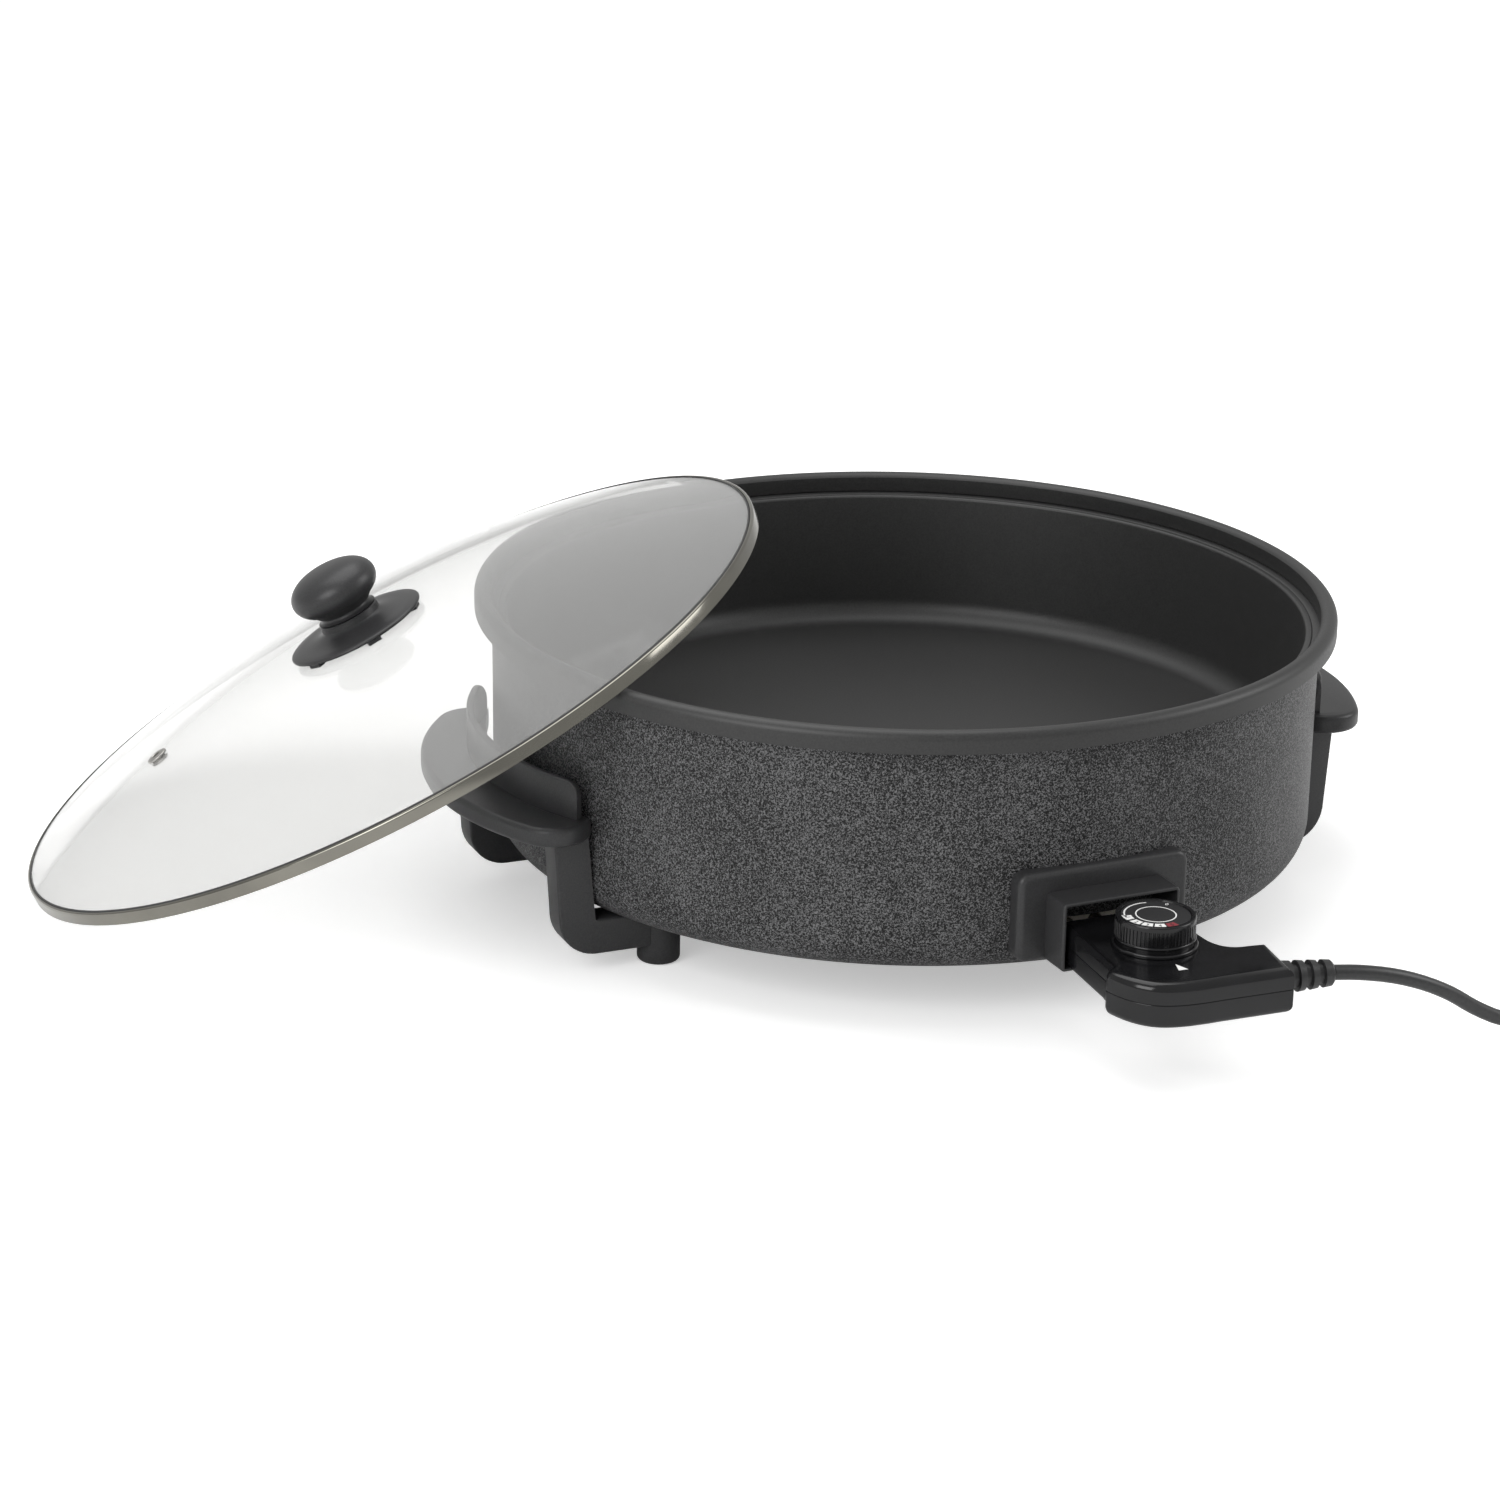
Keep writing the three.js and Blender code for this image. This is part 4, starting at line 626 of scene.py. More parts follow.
POLISHED_STEEL = Metal("PolishedSteel", "84827a", "78766f", 0.08, 30.0)
PLATED_STEEL = Metal("PlatedSteel", "b8b6b2", "a09e9a", 0.3)
HEATER_STEEL = Metal("HeaterSteel", "6e6a64", "57534d", 0.45)
CONTACT_BRASS = Metal("ContactBrass", "c0a063", "a88a52", 0.32)


@dataclass(frozen=True)
class TemperedGlass(Finish):
    """Toughened soda-lime glass: mirror-smooth, with a faint pale veil that is painted reflection of the
    bright room, a share of the surface that doesn't transmit.
    """

    # tint also colours the share that isn't clear, which paints a pale reflection veil over the glass
    tint: str = "e9e9e8"
    clear_share: float = 0.87
    ripple_mm: float = 60
    ripple_height_mm: float = 0.2

    def dress(self, tree: bpy.types.NodeTree) -> None:
        """Adds the slight ripple that toughening leaves.

        Args:
            tree: the material's node tree.
        """
        ripple = noise(tree, self.ripple_mm, Detail=0.0)
        settings = {
            "Base Color": linear(self.tint),
            "Roughness": 0.0,
            "IOR": 1.5,
            # the share that isn't clear shows the tint as a painted reflection veil
            "Transmission Weight": self.clear_share,
        }
        surface(tree, settings, {"Normal": relief(tree, ripple, 0.02, self.ripple_height_mm)})


@dataclass(frozen=True)
class FlexiblePvc(Finish):
    """Extruded PVC or rubber: black with a soft waxy highlight."""

    variant: str
    colour: str
    worn: str
    roughness: float
    grain_mm: float = 1.5
    grain_height_mm: float = 0.05

    def dress(self, tree: bpy.types.NodeTree) -> None:
        """Adds a faint drag grain to colour and relief.

        Args:
            tree: the material's node tree.
        """
        grain = noise(tree, self.grain_mm, Detail=2.0)
        links = {
            "Base Color": coloured(tree, grain, (0.3, self.colour), (0.7, self.worn)),
            "Normal": relief(tree, grain, 0.08, self.grain_height_mm),
        }
        surface(tree, {"Roughness": self.roughness}, links)


CORD_PVC = FlexiblePvc("CordPvc", "1c1c1d", "262627", 0.4)
SEAL_SILICONE = FlexiblePvc("SealSilicone", "2c2c2c", "383838", 0.6)
PALE_INK = FlexiblePvc("PaleInk", "dcdcdb", "ebebea", 0.6, 0.3)
RED_INK = FlexiblePvc("RedInk", "7a2a33", "8e3039", 0.6, 0.3)
DARK_INK = FlexiblePvc("DarkInk", "1e1e1f", "262627", 0.5, 0.3)
CERAMIC = FlexiblePvc("Ceramic", "ddd8cc", "ebe6dc", 0.6, 0.4)


# Pan


@dataclass
class Pan:
    """The non-stick inner pan and its hammered jacket."""

    rim_radius: float = 210
    rim_top: float = 120.8
    roll_radius: float = 4.3
    skirt: float = 10.2
    sheet: float = 2
    ledge_depth: float = 10.1
    ledge_inner: float = 194.7
    ledge_outer: float = 201.9
    ledge_groove: float = 198.2
    groove_width: float = 1.1
    groove_depth: float = 0.35
    wall_edge_round: float = 1.5
    floor_radius: float = 179.4
    floor_thickness: float = 3.5
    cove_radius: float = 12
    jacket_radius: float = 201.7
    jacket_sheet: float = 1
    base_fillet: float = 17
    ledge_corner: float = 1
    slot_half_width: float = 19.3
    slot_half_height: float = 4.5
    slot_round: float = 2
    slot_ends: Pair = (190, 210)
    pin_height: float = 21.5
    sides: int = 192

    def inner_profile(self) -> list[Pair]:
        """Gives the inner pan's section, up its outside and down its inside.

        Returns:
            The section's points as radius and height.
        """
        ledge = self.rim_top - self.ledge_depth
        roll = (self.rim_radius - self.roll_radius, self.rim_top - self.roll_radius)
        cove = (self.floor_radius, FLOOR_HEIGHT + self.cove_radius)
        groove = [
            (self.ledge_groove + self.groove_width / 2 * i, ledge - self.groove_depth * (1 - abs(i)))
            for i in (1, 0.5, 0, -0.5, -1)
        ]
        edge = (self.ledge_inner + self.wall_edge_round, ledge - self.wall_edge_round)
        under = FLOOR_HEIGHT - self.floor_thickness
        corner = self.ledge_corner
        return [
            (0, under),
            (self.floor_radius, under),
            *arc(cove, self.cove_radius + self.sheet, -85, 0, 10),
            (self.ledge_inner + self.sheet, ledge - 2 * self.sheet),
            (self.ledge_inner + 2 * self.sheet, ledge - self.sheet),
            (roll[0] - self.roll_radius + self.sheet, ledge - self.sheet),
            *arc(roll, self.roll_radius - self.sheet, 180, 0, 10),
            (self.rim_radius - self.sheet, self.rim_top - self.skirt),
            (self.rim_radius, self.rim_top - self.skirt),
            *arc(roll, self.roll_radius, 0, 150, 16),
            *arc((self.ledge_outer + corner, ledge + corner), corner, 180, 270, 4)[:-1],
            *groove,
            *arc(edge, self.wall_edge_round, 90, 180, 6),
            *arc(cove, self.cove_radius, 0, -90, 14),
            (0, FLOOR_HEIGHT),
        ]

    def jacket_profile(self) -> list[Pair]:
        """Gives the jacket's section, up its outside and down its inside.

        Returns:
            The section's points as radius and height.
        """
        top = self.rim_top - self.ledge_depth - self.sheet - GAP
        fillet = (self.jacket_radius - self.base_fillet, self.base_fillet)
        return [
            (0, 0),
            *arc(fillet, self.base_fillet, -90, 0, 16),
            (self.jacket_radius, top),
            (self.jacket_radius - self.jacket_sheet, top),
            *arc(fillet, self.base_fillet - self.jacket_sheet, 0, -90, 16),
            (0, self.jacket_sheet),
        ]

    def jacket_solid(self, clearance: float) -> Form:
        """Gives the jacket's whole outside, to cut what stands against it.

        Args:
            clearance: how far the form stands off the jacket.

        Returns:
            The closed form.
        """
        fillet = (self.jacket_radius - self.base_fillet, self.base_fillet)
        return turned(
            [
                (0, -clearance),
                *arc(fillet, self.base_fillet + clearance, -90, 0, 12),
                (self.jacket_radius + clearance, self.rim_top),
                (0, self.rim_top),
            ],
            self.sides,
        )

    def build(self) -> None:
        """Makes the inner pan and the jacket."""
        inner = turned(self.inner_profile(), self.sides)
        Piece("non_stick_pan", inner, NonStickCoating(), "pan", "pan_coating", ("inner_pan",)).make()
        outline = rounded_box_outline(self.slot_half_width, self.slot_half_height, self.slot_round)
        slot = plate(outline, *self.slot_ends).moved(FACING_FRONT).shifted(0, 0, self.pin_height)
        jacket = carved(turned(self.jacket_profile(), self.sides), [(Cut.REMOVE, slot)])
        Piece("hammered_jacket", jacket, HammeredPaint(), "pan", "hammered_jacket", ("outer_jacket",)).make()


# Handles


@dataclass
class Handle:
    """One side handle: grip, heat guard and two legs in one moulding, and its two feet."""

    side: Side
    pan: Pan
    set_back: float = 1.8
    stand_off: float = 3.5
    bridge_place: float = 32
    bridge_half_width: float = 8
    grip_top: float = 51.3
    grip_thickness: float = 9.5
    grip_reach: float = 242.5
    grip_front: float = 80
    grip_rear: float = 96
    grip_arc: float = 140
    grip_corner: float = 18
    corner_turn: float = 150
    grip_edge: float = 2.6
    guard_height: float = 18.5
    guard_reach: float = 219
    guard_arc: float = 140
    guard_front: float = 71.5
    guard_rear: float = 85.5
    guard_thickness: float = 3.6
    front_corner: float = 6
    rear_corner: float = 14
    leg_outer: float = 209.8
    leg_taper: float = 3
    leg_side: float = 70
    leg_thickness: float = 15.5
    leg_depth: float = 17.6
    leg_edge: float = 1.4
    arm_underside: float = -17.8
    arm_round: float = 19
    foot_x: float = 154
    foot_radius: float = 10.3
    foot_edge: float = 2.2
    recess_radius: float = 5
    recess_depth: float = 14
    recess_edge: float = 0.5
    screw_radius: float = 2.1
    guard_edge_share: float = 0.3

    def corner(self, end: float) -> tuple[Pair, float]:
        """Gives the middle and the first angle of the corner's arc at one end of the grip.

        Args:
            end: how far the grip's end lies from the pan's middle.

        Returns:
            The arc's middle and its first angle, in degrees.
        """
        inner = self.grip_arc - self.grip_corner
        start = math.asin((end - self.grip_corner) / inner)
        middle = (self.grip_reach - self.grip_arc + inner * math.cos(start), end - self.grip_corner)
        return middle, math.degrees(start)

    def grip_outline(self) -> list[Pair]:
        """Gives the right handle's grip from above, with its ends turned in to the jacket.

        Returns:
            The outline's points, counter-clockwise.
        """
        front, front_angle = self.corner(self.grip_front)
        rear, rear_angle = self.corner(self.grip_rear)
        turn = self.corner_turn
        back = self.pan.jacket_radius / 2
        inwards = self.grip_corner * math.sin(math.radians(turn))
        centre = (self.grip_reach - self.grip_arc, 0)
        return [
            (back, -front[1] - inwards),
            *arc((front[0], -front[1]), self.grip_corner, -turn, -front_angle, 12),
            *arc(centre, self.grip_arc, -front_angle, rear_angle, 40)[1:-1],
            *arc(rear, self.grip_corner, rear_angle, turn, 12),
            (back, rear[1] + inwards),
        ]

    def guard_form(self) -> Form:
        """Gives the bent wall that stands on the grip, with its top corners rounded.

        Returns:
            The closed form.
        """
        centre = self.guard_reach - self.guard_arc
        first = -math.asin(self.guard_front / self.guard_arc)
        sweep = math.asin(self.guard_rear / self.guard_arc) - first
        inner = self.guard_arc - self.guard_thickness
        low = self.grip_top - self.grip_thickness / 2
        high = self.grip_top + self.guard_height
        edge = self.guard_thickness * self.guard_edge_share
        form = Form()
        steps = 48
        rows = 14
        section_count = 0
        for i in range(steps + 1):
            share = (1 - math.cos(math.pi * i / steps)) / 2
            a = first + sweep * share
            across = self.guard_arc * math.sin(a)
            drop = 0.0
            for from_end, corner in (
                (self.guard_front + across, self.front_corner),
                (self.guard_rear - across, self.rear_corner),
            ):
                if from_end < corner:
                    drop = corner - math.sqrt(max(corner**2 - (corner - from_end) ** 2, 0))
            top = high - drop
            section: list[Pair] = [(self.guard_arc, low)]
            section += arc((self.guard_arc - edge, top - edge), edge, 0, 90, rows // 2)
            section += arc((inner + edge, top - edge), edge, 90, 180, rows // 2)
            section.append((inner, low))
            section_count = len(section)
            for radius, height in section:
                form.points.append(Vector((centre + radius * math.cos(a), radius * math.sin(a), height)))
        for i in range(steps):
            for k in range(section_count):
                a, b, j = i * section_count, (i + 1) * section_count, (k + 1) % section_count
                form.faces.append((a + k, b + k, b + j, a + j))
        form.faces.append(tuple(range(section_count)))
        form.faces.append(tuple(reversed(range(steps * section_count, (steps + 1) * section_count))))
        return form

    def leg_form(self, way: int) -> Form:
        """Gives one leg with its arm, on the side that way names.

        Args:
            way: the side, 1 or -1.

        Returns:
            The closed form.
        """
        inside = self.leg_outer - self.leg_depth - OVERRUN
        top = self.grip_top - self.grip_thickness / 2
        knee = (self.leg_outer - self.leg_taper - self.arm_round, self.arm_underside + self.arm_round)
        outline = [
            (self.foot_x, self.arm_underside),
            *arc(knee, self.arm_round, -90, 0, 12),
            (self.leg_outer, top),
            (inside, top),
            (inside, -GAP),
            (self.foot_x, -GAP),
        ]
        form = plate(outline, 0, self.leg_thickness, self.leg_edge, self.leg_edge, 4).moved(FACING_FRONT)
        return form.shifted(0, self.leg_side if way > 0 else self.leg_thickness - self.leg_side, 0)

    def foot_form(self) -> Form:
        """Gives one foot with its screw's recess, round its own axis.

        Returns:
            The closed form.
        """
        deep = TABLE + self.recess_depth
        edge = self.foot_edge
        profile = [
            (self.recess_radius, TABLE + self.recess_edge),
            (self.recess_radius + self.recess_edge, TABLE),
            *arc((self.foot_radius - edge, TABLE + edge), edge, -90, 0, 6),
            (self.foot_radius, -GAP),
            (self.screw_radius, -GAP),
            (self.screw_radius, deep),
            (self.recess_radius, deep),
        ]
        return turned(profile, 40, closed=True)

    def room(self) -> Form:
        """Gives the space between the jacket and the handle, beside the two bridges.

        Returns:
            The closed form.
        """
        wall = self.pan.jacket_radius
        radius = wall + self.stand_off
        high = self.grip_top + self.guard_height + OVERRUN
        low = self.grip_top - self.grip_thickness
        ring = turned([(0, -GAP), (wall, -GAP), (radius, low), (radius, high), (0, high)], 96)
        bridges = []
        for middle in (-self.bridge_place, self.bridge_place):
            low, far = middle - self.bridge_half_width, middle + self.bridge_half_width
            bridges.append((Cut.REMOVE, box((0, low, 0), (self.grip_reach, far, high + OVERRUN))))
        return carved(ring, bridges)

    def build(self) -> None:
        """Makes the moulding and the two feet; the left handle is the right one mirrored."""
        foot_y = self.leg_side - self.leg_thickness / 2
        low = self.grip_top - self.grip_thickness
        grip = plate(self.grip_outline(), low, self.grip_top, self.grip_edge, self.grip_edge)
        steps = [
            (Cut.JOIN, self.guard_form()),
            (Cut.JOIN, self.leg_form(1)),
            (Cut.JOIN, self.leg_form(-1)),
            (Cut.REMOVE, self.room()),
            (Cut.REMOVE, self.pan.jacket_solid(GAP)),
        ]
        radius = self.foot_radius + GAP
        hole = turned([(0, TABLE), (radius, TABLE), (radius, OVERRUN), (0, OVERRUN)])
        steps += [(Cut.REMOVE, hole.shifted(self.foot_x, y, 0)) for y in (-foot_y, foot_y)]
        turn = Matrix.Rotation(math.radians(self.set_back), 4, "Z")
        if self.side is Side.LEFT:
            turn = Matrix.Scale(-1, 4, (1, 0, 0)) @ turn
        name = self.side.name.lower()
        self.add(f"{name}_moulding", carved(grip, steps).moved(turn), f"handle_{name}")
        for way, place in ((-1, "front"), (1, "rear")):
            middle = turn @ Vector((self.foot_x, way * foot_y, 0))
            foot = self.foot_form().shifted(middle.x, middle.y, 0)
            self.add(f"{name}_{place}_standing_foot", foot, f"foot_{name}_{place}")

    def add(self, name: str, form: Form, node: str) -> None:
        """Makes one moulded piece that stands for a node."""
        Piece(name, form, MouldedPhenolic(), "pan", "moulded_handle", (node,)).make()


# Inlet


@dataclass
class Inlet:
    """The moulded shroud round the controller's pins."""

    pan: Pan
    flange_front: float = 205.6
    flange_half_width: float = 44
    flange_low: float = 8.3
    flange_high: float = 51.5
    flange_round: float = 6
    flange_edge: float = 3
    frame_front: float = 222
    frame_half_width: float = 30
    frame_low: float = 8.6
    frame_high: float = 41.5
    frame_wall: float = 1.4
    frame_round: float = 2
    frame_edge: float = 1
    opening_round: float = 0.8
    depth: float = 14  # how far the block reaches into the jacket before it is cut to fit

    def block(
        self, half_width: float, heights: Pair, rounding: float, ends: Pair, edge: float, steps: int
    ) -> Form:
        """Makes a rounded block that faces the front.

        Args:
            half_width: half its width.
            heights: its underside and its top.
            rounding: radius of its four corners.
            ends: its rear and its front, as distances before the pan's axis.
            edge: radius of its front edge.
            steps: how many steps that edge has.

        Returns:
            The closed form.
        """
        middle = (heights[0] + heights[1]) / 2
        outline = rounded_box_outline(half_width, heights[1] - middle, rounding, 4 if rounding < 1 else 8)
        return plate(outline, *ends, 0, edge, steps).moved(FACING_FRONT).shifted(0, 0, middle)

    def build(self) -> None:
        """Makes the shroud."""
        inside = self.pan.jacket_radius - self.depth
        wall = self.frame_wall
        flange_heights = (self.flange_low, self.flange_high)
        frame_heights = (self.frame_low, self.frame_high)
        flange_ends = (inside, self.flange_front)
        flange = self.block(
            self.flange_half_width, flange_heights, self.flange_round, flange_ends, self.flange_edge, 5
        )
        frame_ends = (inside, self.frame_front)
        box_form = self.block(
            self.frame_half_width, frame_heights, self.frame_round, frame_ends, self.frame_edge, 4
        )
        hollow_heights = (self.frame_low + wall, self.frame_high - wall)
        hollow_ends = (inside - OVERRUN, self.frame_front + OVERRUN)
        inner_half = self.frame_half_width - wall
        hollow = self.block(inner_half, hollow_heights, self.opening_round, hollow_ends, 0, 5)
        cutter = self.pan.jacket_solid(GAP)
        shroud = carved(flange, [(Cut.JOIN, box_form), (Cut.REMOVE, hollow), (Cut.REMOVE, cutter)])
        Piece("inlet_housing", shroud, MouldedPhenolic(), "pan", "moulded_handle", ("inlet_shroud",)).make()


# Controller


@dataclass
class Controller:
    """The plug-in heat controller: two glossy shells, a dial and the cord's strain relief."""

    body_low: float = 8
    body_high: float = 29.5
    parting: float = 19.8
    shell_edge: float = 4.2
    stem_half_width: float = 26
    shoulder_half_width: float = 29.8
    stem_low: float = 10.5
    stem_end: float = 210.5
    frame_front: float = 222
    shoulder_y: float = 265
    shoulder_round: float = 7
    body_left: float = 34.6
    body_front: float = 299.2
    corner_width: float = 18.7
    corner_length: float = 24.5
    corner_bulge: float = 4.2
    tail_length: float = 45.5
    tail_width: float = 33.2
    tail_splay: float = 9.2
    tail_middle: float = 284.6
    neck_x: float = 26.4
    neck_radius: float = 17
    dial_y: float = 251.5
    pin_height: float = 21.5
    pin_spacing: float = 28
    contact_bore: float = 3.7
    probe_bore: float = 3.3
    bore_rear: float = 200
    bore_depth: float = 14
    parting_line: float = 0.04  # from the parting to each shell
    upper_parting_edge: float = 0.15
    lower_parting_edge: float = 0.5
    relief_length: float = 25
    relief_start: float = 7.6
    relief_tip: float = 6
    relief_edge: float = 1
    ribs: int = 3
    groove_depth: float = 1.9
    groove_shares: Pair = (0.25, 0.2)  # of the ribs' pitch, from a groove's middle to its top and its floor
    pointer: tuple[Pair, ...] = ((-5.6, -282.6), (-1.0, -282.9), (-3.4, -275.9))

    def tail_frame(self) -> tuple[Vector, Vector]:
        """Gives the middle of the tail's end face and the way out of it.

        Returns:
            The middle and the direction.
        """
        splay = math.radians(self.tail_splay)
        way = Vector((math.cos(splay), -math.sin(splay), 0))
        return Vector((self.tail_length, -self.tail_middle, (self.body_low + self.body_high) / 2)), way

    def outline(self) -> list[Pair]:
        """Gives the case from above, counter-clockwise, with the stem towards the pan.

        Returns:
            The outline's points, counter-clockwise.
        """
        tail, along = self.tail_frame()
        across = Vector((-along.y, along.x, 0))
        near = tail - across * self.tail_width / 2
        far = tail + across * self.tail_width / 2
        hollow = far + along * (self.neck_x - self.tail_length + self.neck_radius / 2)
        left, front, bulge = -self.body_left, -self.body_front, self.corner_bulge
        start = -self.shoulder_y - self.shoulder_round
        end = (left + self.corner_width, start - self.corner_length)
        lean = self.shoulder_round / 2 * bulge / (self.corner_length - bulge)
        points: list[Pair] = [
            (self.stem_half_width, -self.stem_end),
            (-self.stem_half_width, -self.stem_end),
            (-self.stem_half_width, -self.frame_front),
        ]
        shoulder = (-self.shoulder_half_width, -self.shoulder_y)
        points.append(shoulder)
        points += bend(shoulder, (left - lean, start + self.shoulder_round / 2), (left, start))
        points += bend(points[-1], (left + bulge, end[1] + bulge), end)
        points += bend(points[-1], (end[0] / 2, front), (-end[0] / 2, front))
        points.append((near.x, near.y))
        points.append((far.x, far.y))
        points.append((hollow.x, hollow.y))
        points += bend(points[-1], (self.neck_x, hollow.y), (self.neck_x, -self.dial_y))
        points.append((self.stem_half_width, -self.frame_front))
        return points

    def shell(self, low: float, high: float, low_edge: float, high_edge: float) -> Form:
        """Gives one half of the case with its bores and the stem's underside cut away.

        Args:
            low: height of its underside.
            high: height of its top.
            low_edge: radius of the lower edge.
            high_edge: radius of the upper edge.

        Returns:
            The closed form.
        """
        whole = plate(self.outline(), low, high, low_edge, high_edge, 7)
        cuts = []
        if low < self.stem_low:
            reach = self.body_left + 4 * OVERRUN
            near = (-reach, -self.shoulder_y + self.shoulder_round, low - OVERRUN)
            cuts.append((Cut.REMOVE, box(near, (reach, -self.stem_end + OVERRUN, self.stem_low))))
        first, last = self.bore_rear, self.stem_end + self.bore_depth
        for place, radius in ((-1, self.contact_bore), (0, self.probe_bore), (1, self.contact_bore)):
            bore = turned([(0, first), (radius, first), (radius, last), (0, last)], 32).moved(FACING_FRONT)
            cuts.append((Cut.REMOVE, bore.shifted(place * self.pin_spacing / 2, 0, self.pin_height)))
        return carved(whole, cuts)

    def build(self) -> None:
        """Makes the two shells."""
        line = self.parting_line
        top = self.shell(self.parting + line, self.body_high, self.upper_parting_edge, self.shell_edge)
        bottom = self.shell(self.body_low, self.parting - line, self.shell_edge, self.lower_parting_edge)
        shells = (("upper_shell", top, "controller_top"), ("lower_shell", bottom, "controller_bottom"))
        for name, form, node in shells:
            Piece(name, form, GlossAbs(), "controller", "controller_shell", (node,)).make()
        self.build_relief()
        self.build_pointer()

    def build_relief(self) -> None:
        """Makes the ribbed strain relief."""
        length, start, tip = self.relief_length, self.relief_start, self.relief_tip
        profile: list[Pair] = [(0, GAP), (start, GAP)]
        pitch = length / (self.ribs + 1)
        top, floor = self.groove_shares
        for i in range(1, self.ribs + 1):
            radius = start + (tip - start) * i / (self.ribs + 1)
            inner = radius - self.groove_depth
            profile += [(radius, pitch * (i - top)), (inner, pitch * (i - floor))]
            profile += [(inner, pitch * (i + floor)), (radius, pitch * (i + top))]
        profile += [(tip, length - self.relief_edge), (tip - self.relief_edge, length), (0, length)]
        face, way = self.tail_frame()
        turn = Vector((0, 0, 1)).rotation_difference(way).to_matrix().to_4x4()
        form = turned(profile, 40).moved(Matrix.Translation(face) @ turn)
        Piece("ribbed_relief", form, CORD_PVC, "controller", "cord_rubber", ("strain_relief",)).make()

    def build_pointer(self) -> None:
        """Makes the small printed triangle in front of the dial."""
        form = plate(self.pointer, self.body_high + PRINT_LOW, self.body_high + PRINT_HIGH)
        Piece("pointer_mark", form, PALE_INK, "controller", "dial_print").make()


